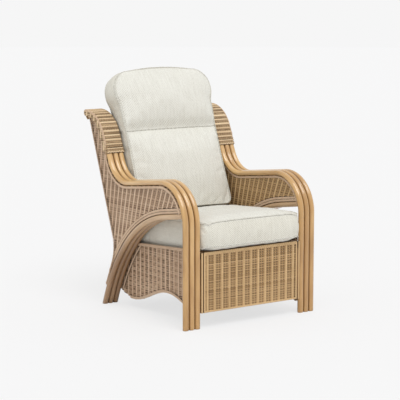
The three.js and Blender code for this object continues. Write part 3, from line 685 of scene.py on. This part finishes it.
def buildSides():
    faces = (("outer", sidePanel, 1, shadeSideWicker), ("inner", innerPanel, -1, litWicker))
    for side, sign in sides:
        for face, w, outward, finish in faces:
            node = f"{side}_side_weave_{face}"
            outline = cadOutline(node, sign * w["x"])
            buildPanel(node, outline, fanned(w), sidePlace(sign * w["x"], sign * outward), w, finish)
        node = f"{side}_side_apron"
        outline = cadOutline(node, sign * apronPanel["x"])
        place = sidePlace(sign * apronPanel["x"], sign)
        bundle = Bundle()
        weave(bundle, outline, fanned(apronPanel), place, apronPanel)
        weave(bundle, outline, fanned(apronInside), sidePlace(sign * apronInside["x"], -sign), apronInside)
        lining(bundle, outline, place, apronPanel)
        bundle.build("woven_" + node, shadeSideWicker, stands=[node])


frontPanel = dict(
    sidePanel, pitch=39, stakeWidth=9.4, stakeHeight=4.6, depth=7.6, stakeDepth=9.2, margin=1, dip=2.4,
    step=4.2, stakeTone=(0.75, 1.0), core=(1, 6), stakes=8, half=253.5, low=68, high=333, rear=14.5,
)


def buildFrontApron():
    w = frontPanel

    def place(u, v, depth):
        return placed(u, w["rear"] - depth, v), np.array((0.0, -1.0, 0.0))

    outline = mirrored((w["half"], w["low"]), (w["half"], w["high"]))
    buildPanel("front_apron", outline, evenStakes(w), place, w, litWicker)


backSkin = dict(
    sidePanel, rowPitch=5.6, pitch=39, stakeWidth=10.5, depth=3.4, stakeDepth=4.7, step=5.6, core=(0.4, 2.4),
    stakes=10, edge=12, narrow=264.5, face=7.4, inFace=-0.6, front=8, underWing=15.8, crestDeep=62,
)
crestStrip = dict(backSkin, stakeDepth=3.6, depth=2.2, dip=1.2)


def backSkinCut():  # how far up the skin reaches past the wings' under side
    front = moved(backLine, backSkin["front"])
    gap = np.linalg.norm(front[:, None, :2] - bandLine[None, :, :2], axis=2).min(1)
    return lengthsOf(backLine)[np.argmax(gap < backSkin["underWing"])]


def buildBackSkin():
    w = backSkin
    top = lengthsOf(backLine)[-1]
    cut, half, narrow = backSkinCut(), c["halfWidth"] - w["edge"], w["narrow"]
    outline = mirrored((half, 0), (half, cut), (narrow, cut), (narrow, top))

    def place(u, v, depth):
        y, z, heading = onLine(backLine, v)
        return turned(u, 0, w["face"] - depth, y, z, heading), facing(0, -1, heading)

    def inPlace(u, v, depth):  # the same on the inside, which shows along the crest
        points, normal = place(u, v, w["inFace"] - depth)
        return points, -normal

    bundle, upper = Bundle(), Bundle()
    weave(bundle, outline, evenStakes(w), place, w, upper)
    lining(bundle, outline, place, w)
    strip = mirrored((narrow, top - w["crestDeep"]), (narrow, top))
    weave(upper, strip, evenStakes(w), inPlace, crestStrip)
    bundle.build("woven_back_skin", shadeSideWicker, stands=["back_skin"])
    upper.build("woven_back_skin_upper", shadeSideWicker)


backPanel = dict(
    backSkin, rowPitch=6.4, weftWidth=6.4, step=7.5, stakes=8, half=276, narrow=264, arm=255, topGap=4,
    footY=557.392, footZ=309.129,
)


def buildBackPanel():  # what the back cushion leans on
    w, slope = backPanel, c["backAngle"]
    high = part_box("back_panel")[1]
    top = (high.z / mm - w["footZ"]) / sind(slope) - w["topGap"]
    outline = mirrored((w["half"], 0), (w["half"], w["arm"]), (w["narrow"], w["arm"]), (w["narrow"], top))

    def place(u, v, depth):
        return turned(u, v, depth, w["footY"], w["footZ"], slope), facing(0, 1, slope)

    buildPanel("back_panel", outline, evenStakes(w), place, w, litWicker)


buildSides()
buildFrontApron()
buildBackSkin()
buildBackPanel()
print("panels woven")


braid = dict(
    width=3.8, rise=1.6, wavelength=26, strandWidth=4.6, strandHeight=4, step=3, back=2.6,
    tone=(0.75, 1.05), toneSwing=0.2, lift=0.6,
)
thinBraid = dict(braid, width=2.6, rise=1.2, strandWidth=3.8, strandHeight=3.4, wavelength=22)
wideBraid = dict(braid, width=5.6, rise=1.8, strandWidth=5.8, wavelength=32)
wingBraid = dict(braid, width=3.2, wavelength=24, tone=(0.55, 0.85))


# a strip of painted shade, in the shadowed wicker, that closes the view behind a braid or a seam
def addStrip(bundle, path, normal, width, height=2, tone=0.2):
    bundle.strand(path, normal, width, height, tone, -1, 4, kind=1)


def addBraid(bundle, path, normal, b=braid):
    s = lengthsAlong(path)
    at = np.linspace(0, s[-1], max(8, round(s[-1] / b["step"])))
    normals = np.broadcast_to(np.asarray(normal, float), path.shape)
    points, normals = (np.stack([np.interp(at, s, v[:, i]) for i in range(3)], -1) for v in (path, normals))
    across = np.cross(unit(np.gradient(points, axis=0)), normals)
    for k in range(3):
        phase = 2 * np.pi * (at / b["wavelength"] + k / 3)
        swing, rise = np.sin(phase)[:, None], np.sin(2 * phase)
        weft = across * b["width"] * swing + normals * b["rise"] * rise[:, None]
        # painted light and shade: lighter where a strand rises over the others, darker where it goes under
        tone = dice.uniform(*b["tone"]) + b["toneSwing"] * rise
        bundle.strand(points + weft, normals, b["strandWidth"], b["strandHeight"], tone, rise * b["lift"])
    addStrip(bundle, points - normals * b["back"], normals, 2 * b["width"] + b["strandWidth"] * 0.8)


def aheadOfBack(row, gap):  # whether a point stands in front of the back's woven skin
    order = np.argsort(backLine[:, 1])
    return row[:, 0] < np.interp(row[:, 1], backLine[order, 1], backLine[order, 0]) - gap


plaits = dict(
    outer=dict(x=352, outward=1, gap=5), inner=dict(x=283, outward=-1, gap=16),
    rows=(18.5, 30), behindLeg=26, seam=35, stripWidth=7, stripBack=3,
)


def archRow(x, distance, gap):  # beside the arch, from behind the front leg to the back's skin
    row = moved(archLine, distance)
    row = row[(row[:, 0] > plaits["behindLeg"]) & aheadOfBack(row, gap)]
    return placed(x, row[:, 0], row[:, 1])


def buildPlaits():
    for side, sign in sides:
        for face in ("outer", "inner"):
            p, bundle = plaits[face], Bundle()
            x, normal = sign * p["x"], np.array((sign * p["outward"], 0, 0))
            for distance in plaits["rows"]:
                addBraid(bundle, archRow(x, distance, p["gap"]), normal)
            # a strip of painted shade along the plaits' seam
            seam = archRow(x, plaits["seam"], p["gap"]) - normal * plaits["stripBack"]
            addStrip(bundle, seam, normal, plaits["stripWidth"])
            node = f"{side}_arch_plait_{face}"
            bundle.build("braided_" + node, shadeSideWicker, stands=[node])


edgeBraids = dict(
    underArm=19, armX=355.2, armInnerX=281, armFrom=55, armPast=8,
    wingX=356.6, wingRise=10, wingBefore=34, wingEnd=4, wingFull=50, lean=0.62, leanFull=60,
)
apronBraids = dict(
    x=278.6, topFrom=30, topTo=505, topDrop=2, hemFrom=28, hemTo=560, hemRise=5, underX=273.6, underRise=0.5,
    arch=-22, archLow=62, archHigh=318,
)
uprightBraids = dict(  # at the corner, beside the leg and on the apron's edge
    places=((264.6, 1.6), (250.6, 2.6)), low=68, high=330, stripX=257.6, stripY=(6, 14), strip=(25, 3, 0.4),
)
hemBraids = dict(half=249, y=3.2, low=72, high=325)


def buildArmBraids(side, sign):  # under the arm, outside and inside, and up along the wing
    e, s, bundle = edgeBraids, lengthsOf(bandLine), Bundle()
    armPart = (s > c["legRise"] + e["armFrom"]) & (s < wingFrom + e["armPast"])
    for x, outward in ((e["armX"], 1), (e["armInnerX"], -1)):
        row = moved(bandLine, -e["underArm"])[armPart]
        addBraid(bundle, placed(sign * x, row[:, 0], row[:, 1]), (sign * outward, 0, 0))
    start = wingFrom - e["wingBefore"]
    on = (s > start) & (s < bandEnd - e["wingEnd"])
    drift = np.interp(s[on], (start, wingFrom + e["wingFull"]), (-e["underArm"], e["wingRise"]))
    lean = np.interp(s[on], (wingFrom, wingFrom + e["leanFull"]), (0, e["lean"]))
    y, z, heading = bandLine[on].T
    normals = facing(sign * np.sqrt(1 - lean**2), lean, heading)
    addBraid(bundle, turned(sign * e["wingX"], 0, drift, y, z, heading), normals, wingBraid)
    bundle.build(f"{side}_edge_braid", shadeSideWicker)


def buildApronBraids(side, sign):
    e, bundle = apronBraids, Bundle()
    x, outward = sign * e["x"], (sign, 0, 0)
    y = np.linspace(e["topFrom"], e["topTo"], 95)
    z = c["seatTop"] + c["apronRise"] - y * math.tan(math.radians(c["seatAngle"])) - e["topDrop"]
    addBraid(bundle, placed(x, y, z), outward, wideBraid)
    outline = cadOutline(f"{side}_side_apron", sign * apronPanel["x"])
    y = np.linspace(e["hemFrom"], e["hemTo"], 120)
    z = np.array([spans(outline[:, ::-1], v + frontOfLegs)[0, 0] for v in y])
    addBraid(bundle, placed(x, y, z + e["hemRise"]), outward, thinBraid)
    addBraid(bundle, placed(sign * e["underX"], y, z + e["underRise"]), (0, 0, -1), wideBraid)
    y, z, _ = moved(archLine, e["arch"]).T
    on = (z < e["archHigh"]) & (z > e["archLow"])
    addBraid(bundle, placed(x, y[on], z[on]), outward, thinBraid)
    bundle.build(f"{side}_apron_braid", shadeSideWicker)


def buildUprightBraids(side, sign):
    e, bundle, forward = uprightBraids, Bundle(), (0, -1, 0)
    z = np.linspace(e["low"], e["high"], 60)
    for x, y in e["places"]:
        addBraid(bundle, placed(sign * x, y, z), forward, thinBraid)
    # strips of painted shade in the seam between the panel and the leg
    for y in e["stripY"]:  # closes the seam between the panel and the leg
        addStrip(bundle, placed(sign * e["stripX"], y, z + 1), forward, *e["strip"])
    bundle.build(f"{side}_upright_braid", litWicker)


def buildEdgeBraids():
    for side, sign in sides:
        buildArmBraids(side, sign)
        buildApronBraids(side, sign)
        buildUprightBraids(side, sign)
    bundle = Bundle()
    x = np.linspace(-hemBraids["half"], hemBraids["half"], 120)
    for z, b in ((hemBraids["low"], thinBraid), (hemBraids["high"], wideBraid)):
        addBraid(bundle, placed(x, hemBraids["y"], z), (0, -1, 0), b)
    bundle.build("front_hem_braid", litWicker)


cornerWrap = dict(
    pitch=5.6, radius=7, ahead=15, across=18, width=5.4, height=3.6, inset=1.6, sway=(-0.5, 0.7),
    tone=(0.25, 0.8), start=2, past=4, footBraid=(4, 351), crestBraid=(3, 262), braidOut=1.2,
)


def buildBackEdges():
    w, bundle = cornerWrap, Bundle()
    turn = np.linspace(0, 90, 6)
    r, outer = w["radius"], c["halfWidth"] - w["inset"]
    x = np.concatenate(([outer], outer - r + r * cosd(turn), [outer - w["across"]]))
    d = np.concatenate(([w["ahead"]], r + w["inset"] - r * sind(turn), [w["inset"]]))
    nx = np.concatenate(([1], cosd(turn), [0]))
    nd = np.concatenate(([0], -sind(turn), [-1]))
    for number, at in enumerate(np.arange(w["start"], backSkinCut() + w["past"], w["pitch"])):
        y, z, heading = onLine(backLine, at)
        out = w["sway"][number % 2]
        for _, sign in sides:
            path = turned(sign * (x + out * nx), 0, d + out * nd, y, z, heading)
            normals = facing(sign * nx, nd, heading)
            bundle.strand(path, normals, w["width"], w["height"], dice.uniform(*w["tone"]), out, 6)
    top = lengthsOf(backLine)[-1]
    for at, half in (w["footBraid"], (top - w["crestBraid"][0], w["crestBraid"][1])):
        y, z, heading = onLine(backLine, at)
        x = np.linspace(-half, half, 160)
        addBraid(bundle, turned(x, 0, -w["braidOut"], y, z, heading), facing(0, -1, heading), wideBraid)
    bundle.build("back_edges", shadeSideWicker)


wrap = dict(
    period=42, wideWidth=10.5, firstWidth=5, thinWidth=7.8, flatHeight=2.8, out=2.2, corner=6,
    wideTone=(0.75, 1.05), thinTone=(0.65, 1.0), outerX=354.6, innerX=269.1, innerShade=0.5,
    twineWidth=5, twineHeight=3.2, twineTone=(-0.25, 0.42), twineApart=1.7, twineIn=0.9, twineTurn=13.7,
    twinesAt=(0.2, 0.34, 0.66, 0.8), borderStart=1, borderIn=1.4, borderLine=(3, 3, -0.6),
    borderTwines=((5.6, (0.85, 1.05), 0.9), (11, (0, 0.2), 0.8), (16, (0, 0.2), 0.8)), border=22,
    nose=13, fineFrom=44, endFrom=9, endPitch=5.6, endTone=(0.2, 0.6), endWave=0.9, coreDepth=25, coreStep=10,
)
noseShape = dict(last=358, pitch=5, width=5.4, height=3.4, sway=(-0.4, 0.6), tone=(0.2, 0.7), round=86)
# rows that fill in under the wing's end, as lengths back and down from it
underWing = dict(
    rows=((8, 17), (10.5, 21), (13.5, 25), (17, 29)), x=(271.1, 353.6), slope=40, width=5.6, height=4.6,
    tone=(0.3, 0.7),
)
wingFace = dict(sidePanel, x=355.4, above=10, below=15, past=2)


def wrapLoop(s, out, count):  # a rounded loop round the three poles at a length along the band
    inner, outer = wrap["innerX"] - out, wrap["outerX"]
    hx, hn = (outer - inner) / 2, c["poleDepth"] / 2 + out
    r = wrap["corner"]
    a, b = hx - r, hn - r
    rows = []
    for cx, cn, turn in ((a, b, 0), (-a, b, 90), (-a, -b, 180), (a, -b, 270)):
        for angle in np.linspace(turn, turn + 90, 6):
            rows.append((cx + r * cosd(angle), cn + r * sind(angle), cosd(angle), sind(angle)))
    rows = np.array(rows + rows[:1])
    steps = lengthsAlong(rows[:, :2])
    at = np.linspace(0, steps[-1], count + 1)[:-1]
    x, n, nx, nn = (np.interp(at, steps, rows[:, i]) for i in range(4))
    y, z, heading = onLine(bandLine, s)
    return turned((outer + inner) / 2 + x, 0, n, y, z, heading), facing(nx, nn, heading), at[-1]


def addLoop(bundle, at, out, width, height, tone, mirror, wave=0, phase=0, count=64):
    points, normals, length = wrapLoop(at, out, count)
    turns = round(length / wrap["twineTurn"])
    rise = wave * np.sin(2 * np.pi * turns * np.arange(count) / count + phase)
    points = points + normals * rise[:, None]
    lift = rise / wave if wave else 0.3
    tone = tone - wrap["innerShade"] * np.clip(-normals[:, 0], 0, 1)
    bundle.strand(points * mirror, normals * mirror, width, height, tone, lift, 8 if count < 100 else 6, True)


def addFlat(bundle, at, width, tone, mirror):
    addLoop(bundle, at, wrap["out"], width, wrap["flatHeight"], dice.uniform(*tone), mirror)


def addTwine(bundle, at, tone, mirror, wave=1.2):  # two thin strands that cross over each other
    w = wrap
    size = w["twineWidth"], w["twineHeight"]
    for k, shift in ((0, -w["twineApart"]), (1, w["twineApart"])):
        shade = dice.uniform(*tone)
        addLoop(bundle, at + shift, w["out"] - w["twineIn"], *size, shade, mirror, wave, math.pi * k, 120)


def addNose(bundle, sign):  # strands that close the wing's end in a half round
    w, (y, z, heading) = noseShape, bandLine[-1]
    t = np.linspace(-w["round"], w["round"], 13)
    d, n = wrap["nose"] * (cosd(t) - 1), (c["poleDepth"] / 2 + wrap["out"]) * sind(t)
    normals = together(0, cosd(t + heading), sind(t + heading))
    for number, x in enumerate(np.arange(wrap["innerX"] + 1, w["last"], w["pitch"])):
        out = w["sway"][number % 2]
        path = turned(sign * x, d + out, n, y, z, heading)
        bundle.strand(path, normals, w["width"], w["height"], dice.uniform(*w["tone"]), out)


def addRows(bundle, mirror):  # from the border over the bare poles to the close rows over the crest
    w = wrap
    addLoop(bundle, wingFrom + w["borderStart"], w["out"] - w["borderIn"], *w["borderLine"], mirror)
    for at, tone, wave in w["borderTwines"]:
        addTwine(bundle, wingFrom + at, tone, mirror, wave)
    start, end = wingFrom + w["border"], bandEnd - w["nose"] - w["fineFrom"]
    periods = round((end - start) / w["period"])
    pitch = (end - start) / periods
    for n in range(periods):
        at = start + n * pitch
        addFlat(bundle, at, w["wideWidth"] if n else w["firstWidth"], w["wideTone"], mirror)
        addFlat(bundle, at + pitch / 2, w["thinWidth"], w["thinTone"], mirror)
        # the twines' dark tone is partly their own colour and partly painted shade between the flat rows
        for share in w["twinesAt"]:
            addTwine(bundle, at + pitch * share, w["twineTone"], mirror)
    addFlat(bundle, end, w["wideWidth"], w["wideTone"], mirror)
    for at in np.arange(end + w["endFrom"], bandEnd - w["nose"], w["endPitch"]):
        addTwine(bundle, at, w["endTone"], mirror, w["endWave"])


def addWingFace(bundle, sign):  # the side weave runs on over the wing's outer face
    w = wingFace
    on = lengthsOf(bandLine) > wingFrom + w["past"]
    high, low = moved(bandLine, w["above"])[on], moved(bandLine, -w["below"])[on]
    outline = np.vstack((low, high[::-1]))[:, :2] + (frontOfLegs, 0)
    weave(bundle, outline, fanned(w), sidePlace(sign * w["x"], sign), w)


def buildWingWraps():
    w, u = wrap, underWing
    y, z, heading = bandLine[-1]
    for side, sign in sides:
        bundle = Bundle()
        addRows(bundle, np.array((sign, 1, 1)))
        # a core of painted shade, in the shadowed wicker, inside the wraps
        section = poleSection(w["outerX"] - w["innerX"], w["coreDepth"])
        line = between(bandLine, wingFrom + w["borderStart"], bandEnd - w["nose"] + 2, w["coreStep"])
        rings, grain = sweptPole(line, sign * (w["outerX"] + w["innerX"]) / 2, section)
        bundle.skin(rings, grain, 0.2, -1, kind=1)
        addNose(bundle, sign)
        x = np.linspace(*u["x"], 30)
        for back, down in u["rows"]:
            row = turned(sign * x, -back, -down, y, z, heading)
            normal = (0, cosd(u["slope"]), -sind(u["slope"]))
            bundle.strand(row, normal, u["width"], u["height"], dice.uniform(*u["tone"]))
        addWingFace(bundle, sign)
        node = f"{side}_wing_wrap"
        bundle.build("wound_" + node, bandWicker, stands=[node])


buildPlaits()
buildEdgeBraids()
buildBackEdges()
buildWingWraps()
print("braids and wraps wound")


# the crease colour is painted shade along the seams, and the side colour is painted shade that darkens the
# gussets a little
cloth = dict(
    pale=(238, 238, 231), mid=(222, 220, 210), fleck=(166, 161, 147), creaseShade=(112, 104, 88),
    side=(249, 247, 243), twill=0.0086, dash=0.0052, sheen=0.12,
)


def clothFinish():
    f = Finish("twillCloth")
    where = f.attribute("thread", "Vector")
    across = f.node("SeparateXYZ", None, {"Vector": where}, "X")
    along = f.node("SeparateXYZ", None, {"Vector": where}, "Y")
    wobble = f.noise(where, 60, 2) * 0.005
    ridge = ((across + along + wobble) * (2 * math.pi / cloth["twill"])).maths("SINE") * 0.5 + 0.5
    notch = ((across - along + wobble) * (2 * math.pi / cloth["dash"])).maths("SINE") * 0.5 + 0.5
    slubs = f.noise(f.scaled(where, 1, 0.35, 1), 360, 2, 0.6)
    bands = f.noise(f.scaled(where, 1, 0.12, 1), 110, 2, 0.5)
    clouds = f.noise(where, 7, 3, 0.5)
    height = ridge * (0.5 + 0.5 * notch) + slubs * 0.65
    share = height * 0.5 + bands * 0.2 + clouds * 0.1
    colour = f.ramp(share, (0.2, cloth["fleck"]), (0.42, cloth["mid"]), (0.72, cloth["pale"]))
    # painted shade: the gussets a little darker, and the seams darker still
    colour = f.mixed(f.attribute("side"), colour, cloth["side"], "MULTIPLY")
    sewn = f.ranged(f.attribute("sewn"), 0.6, 1.0, 0, 0.8)
    colour = f.mixed(sewn, colour, cloth["creaseShade"])
    return f.surface("BsdfPrincipled", {
        "Base Color": colour, "Roughness": 0.92, "Sheen Weight": cloth["sheen"],
        "Normal": f.bump(height, 0.4, 0.0012),
    })


def pipingFinish():
    f = Finish("pipingCloth")
    grain = f.attribute("grain", "Vector")
    twist = f.noise(f.scaled(grain, 1, 1, 0.5), 420, 2, 0.6)
    colour = f.ramp(twist, (0.3, cloth["fleck"]), (0.57, cloth["mid"]), (0.84, cloth["pale"]))
    return f.surface("BsdfPrincipled", {
        "Base Color": colour, "Roughness": 0.9, "Sheen Weight": cloth["sheen"],
        "Normal": f.bump(twist, 0.3, 0.001),
    })


twill, pipingCloth = clothFinish(), pipingFinish()


def eased(value, low, high):
    t = np.clip((value - low) / (high - low), 0, 1)
    return t * t * (3 - 2 * t)


def inset(radius, fromEnd):  # how far a round corner draws the side in
    deep = np.clip(radius - fromEnd, 0, radius)
    return radius - np.sqrt(radius**2 - deep**2)


def domed(share):
    return np.clip(1 - np.abs(share) ** 2.6, 0, 1) ** 0.55


def cushionGrid(p):
    half = p["length"] / 2
    corner = np.linspace(0, 90, p["cornerRows"] + 1)[:-1]
    lowEnd = -half + p["lowCorner"] * (1 - np.cos(np.radians(corner)))
    highEnd = half - p["highCorner"] * (1 - np.cos(np.radians(corner)))
    straight = [-half + p["lowCorner"], half - p["highCorner"]]
    if "fold" in p:
        straight.insert(1, p["fold"] - half)
    parts = [np.linspace(a, b, round((b - a) / p["step"]) + 1)[:-1] for a, b in zip(straight, straight[1:])]
    rows = np.concatenate((lowEnd, *parts, straight[-1:], highEnd[::-1]))
    t = np.linspace(-1, 1, p["columns"] + 1)
    u, y = np.meshgrid(t * (1.16 - 0.16 * t * t), rows)
    v = y / half
    wide = p["widthAt"](y + half) / 2 - inset(p["lowCorner"], y + half) - inset(p["highCorner"], half - y)
    wide = wide - p["draw"] * (1 - v * v)
    y = y + np.where(v > 0, p["endRise"], p["draw"]) * (1 - u * u) * v**6
    return u, v, u * wide, y, rows


def rimOf(number):  # the outer ring of a grid of point numbers
    return np.concatenate((number[0, :-1], number[:-1, -1], number[-1, :0:-1], number[:0:-1, 0]))


# points in the cushion's own directions, the cloth's thread directions, faces,
# and the numbers of the sewn points
def cushionMesh(p):
    u, v, x, y, rows = cushionGrid(p)
    nr, nc = u.shape
    s = rows[:, None] + p["length"] / 2
    corner = np.abs(u) ** 9 * np.abs(v) ** 9
    front = np.clip(-v, 0, 1) ** 14
    high = p["seamHigh"] + p["face"](u, v, s) - p["cornerDrop"] * corner
    low = p["seamLow"] - p["belly"] * np.minimum(1, 2 * domed(u) * domed(v))
    low = low + p["frontLift"] * front * (1 - corner) + p["cornerLift"] * corner
    top, base = together(x, y, high).reshape(-1, 3), together(x, y, low).reshape(-1, 3)
    number = np.arange(nr * nc).reshape(nr, nc)
    quads = np.stack((number[:-1, :-1], number[:-1, 1:], number[1:, 1:], number[1:, :-1]), -1).reshape(-1, 4)
    rim = rimOf(number)
    along = top[np.roll(rim, -1)] - top[np.roll(rim, 1)]
    out = unit(together(along[:, 1], -along[:, 0], 0))
    levels = p["levels"]
    deep = (top[rim] - base[rim])[:, 2:]
    flat = top * (1, 1, 0)
    rings, points, thread = [rim + nr * nc], [top, base], [flat, base * (1, 1, 0)]
    thread[1][rim] = flat[rim] + out * deep
    for k in range(1, levels):
        t = k / levels
        ring = base[rim] * (1 - t) + top[rim] * t + out * p["gusset"] * math.sin(math.pi * t)
        rings.append(np.arange(len(rim)) + 2 * nr * nc + (k - 1) * len(rim))
        points.append(ring)
        thread.append(flat[rim] + out * deep * (1 - t))
    rings.append(rim)
    faces = [quads, quads[:, ::-1] + nr * nc]
    for a, b in zip(rings, rings[1:]):
        faces.append(np.stack((a, np.roll(a, -1), np.roll(b, -1), b), -1))
    sewn = dict(high=rim, low=rim + nr * nc, welt=rimOf(number[1:-1, 1:-1]), fold=np.array([], int))
    sewn["side"] = np.concatenate(rings[1:-1])
    if "fold" in p:
        sewn["fold"] = number[np.argmin(np.abs(s[:, 0] - p["fold"]))]
    return np.concatenate(points), np.concatenate(thread), np.concatenate(faces), sewn


def stuff(obj, pins, p):  # blows the cover up between its sewn lines, and keeps the result
    group = obj.vertex_groups.new(name="sewn")
    for numbers, weight in pins:
        group.add([int(i) for i in numbers], weight, "REPLACE")
    modifier = obj.modifiers.new("cover", "CLOTH")
    s = modifier.settings
    s.quality, s.mass = p["quality"], p["mass"]
    s.tension_stiffness = s.compression_stiffness = p["tension"]
    s.shear_stiffness, s.bending_stiffness = p["shear"], p["bending"]
    s.use_pressure, s.uniform_pressure_force = True, p["pressure"]
    s.vertex_group_mass, s.pin_stiffness = "sewn", 1
    s.shrink_min = p["slack"]
    s.effector_weights.gravity = 0
    modifier.point_cache.frame_start, modifier.point_cache.frame_end = 1, p["frames"]
    start = np.array([v.co for v in obj.data.vertices])
    for number in range(1, p["frames"] + 1):
        scene.frame_set(number)
    depsgraph = bpy.context.evaluated_depsgraph_get()
    final = np.array([v.co for v in obj.evaluated_get(depsgraph).data.vertices])
    obj.modifiers.remove(modifier)
    obj.vertex_groups.clear()
    scene.frame_set(1)
    move = final - start
    far = np.linalg.norm(move, axis=1, keepdims=True)
    return start + move * np.minimum(1, p["most"] * mm / np.maximum(far, 1e-9))


def puckers(u, count=9):  # uneven gathers along the sewn fold
    return 0.5 + 0.3 * np.sin(count * np.pi * u + 0.6) + 0.2 * np.sin(2.7 * count * np.pi * u + 2)


def seatFace(u, v, s):
    return 6 * domed(u) * domed(v)


def backFace(u, v, s):  # fuller above the fold, which is drawn in and gathered
    across = np.minimum(1, 2 * domed(u))
    full = (18 + 16 * eased(s, 380, 430)) * domed(u) * domed(v)
    drawnIn = 16 * np.exp(-(((s - 380) / 24) ** 2)) * across
    return full - drawnIn - 9 * np.exp(-(((s - 395) / 26) ** 2)) * across * puckers(u)


def backWidth(s):  # wider towards the head roll
    return 510 + 8 * eased(s, 380, 470) + 26 * eased(s, 500, 560)


cushion = dict(
    columns=54, cornerRows=7, step=9.5, seamLow=9, belly=8, gusset=5, piping=4.4,
    quality=6, mass=0.25, tension=12, shear=6, pressure=3.6, bending=0.6, slack=-0.02, frames=20,
    pins=(("high", 1.0), ("low", 1.0), ("fold", 0.97)), proud=(("high", 0.8), ("low", 0.8), ("welt", 0.2)),
    stitch=2, stitchProud=0.4,
)
seatPad = dict(
    cushion, length=560.8, widthAt=lambda s: 522.0 + 0 * s, lowCorner=28, highCorner=38, draw=3, endRise=-4,
    levels=12, seamHigh=126, frontLift=5, cornerLift=14, cornerDrop=9, face=seatFace, welt=2.6, most=17,
    angle=-4.3, y=264.593, z=315.03, foot=0, clear=266.6, underBack=430,
)
backPad = dict(
    cushion, length=665, widthAt=backWidth, lowCorner=30, highCorner=92, draw=5, endRise=14,
    levels=9, seamHigh=92, frontLift=0, cornerLift=0, cornerDrop=0, fold=380, face=backFace, welt=3, most=24,
    angle=69.5, y=587.93, z=414.51, foot=332.5, clear=261, wingTop=897,
)
seatPlane = dict(z=478.58, fall=4.3, gap=0.4)


def settled(points, p):  # into the model's place, and clear of the frame and of the other cushion
    x, along, up = points.T
    at = turned(x, along + p["foot"], np.maximum(up, 0), p["y"], p["z"], p["angle"])
    deep = at[:, 1] - frontOfLegs
    rest = seatPlane["z"] - deep * math.tan(math.radians(seatPlane["fall"]))
    narrowed = np.clip(at[:, 0], -p["clear"], p["clear"])
    if "wingTop" in p:
        at[:, 2] = np.maximum(at[:, 2], rest + seatPlane["gap"])
        at[:, 0] = np.where(at[:, 2] < p["wingTop"], narrowed, at[:, 0])
    else:
        at[:, 2] = np.where(deep > p["underBack"], np.minimum(at[:, 2], rest - seatPlane["gap"]), at[:, 2])
        at[:, 0] = narrowed
    return at


def buildCushion(name, node, body, p):
    points, thread, faces, sewn = cushionMesh(p)
    pins = [(sewn[key], hold) for key, hold in p["pins"]]
    mesh = bpy.data.meshes.new(name)
    mesh.from_pydata((points * mm).tolist(), [], faces.tolist())
    mesh.materials.append(twill)
    seams, side = np.zeros(len(points)), np.zeros(len(points))
    for key in ("high", "low", "fold"):
        seams[sewn[key]] = 1
    # the gussets, which the cloth darkens as painted shade
    side[sewn["side"]] = 1
    for key, values in (("sewn", seams), ("side", side), ("thread", thread * mm)):
        recorded(mesh, key, values)
    obj = added(name, mesh)
    points = stuff(obj, pins, p) / mm
    at = settled(points, p)
    mesh.vertices.foreach_set("co", (at * mm).astype(np.float32).ravel())
    mesh.polygons.foreach_set("use_smooth", np.ones(len(mesh.polygons), bool))
    mesh.update()
    normals = np.array([v.normal for v in mesh.vertices])
    piping = Bundle()
    for key, proud in p["proud"]:
        seam, thick = sewn[key], p["welt" if key == "welt" else "piping"]
        piping.strand(at[seam] + normals[seam] * proud, normals[seam], thick, thick, 0.5, 0, 8, closed=True)
    if len(sewn["fold"]):
        stitch = sewn["fold"][2:-2]
        path = at[stitch] + normals[stitch] * p["stitchProud"]
        piping.strand(path, normals[stitch], p["stitch"], p["stitch"], 0.5)
    subdivide = obj.modifiers.new("rounder", "SUBSURF")
    subdivide.levels = subdivide.render_levels = 1
    applied(obj)
    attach(obj, body)
    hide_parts(node)
    piping.build("piping_" + node, pipingCloth, body=body, slotName="cloth")


def applied(obj):
    depsgraph = bpy.context.evaluated_depsgraph_get()
    mesh = bpy.data.meshes.new_from_object(obj.evaluated_get(depsgraph))
    obj.modifiers.clear()
    obj.data = mesh


buildCushion("stuffed_seat", "seat_cushion", "seat", seatPad)
buildCushion("stuffed_back", "back_cushion", "back", backPad)
print("cushions stuffed")


railShape = dict(pale=(176, 140, 96), mid=(138, 104, 66), deep=(92, 66, 40), across=260, along=12)


def railFinish():
    f = Finish("shadedCane")
    r = railShape
    where = f.node("TexCoord", output="Object")
    fibres = f.noise(f.scaled(where, r["along"], r["across"], r["across"]), 1, 3, 0.6)
    clouds = f.noise(where, 14, 3, 0.5)
    colour = f.ramp(fibres * 0.5 + clouds * 0.5, (0.3, r["deep"]), (0.5, r["mid"]), (0.72, r["pale"]))
    return f.surface("BsdfPrincipled", {
        "Base Color": colour, "Roughness": 0.5 + fibres * 0.15, "Normal": f.bump(fibres, 0.3, 0.001),
    })


def dressFrame():  # the rails, slats and posts of the CAD model keep their shape
    finish = railFinish()
    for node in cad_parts.values():
        if not node.hide_render:
            node.data.materials.clear()
            node.data.materials.append(finish)


dressFrame()
print("rails and slats finished")
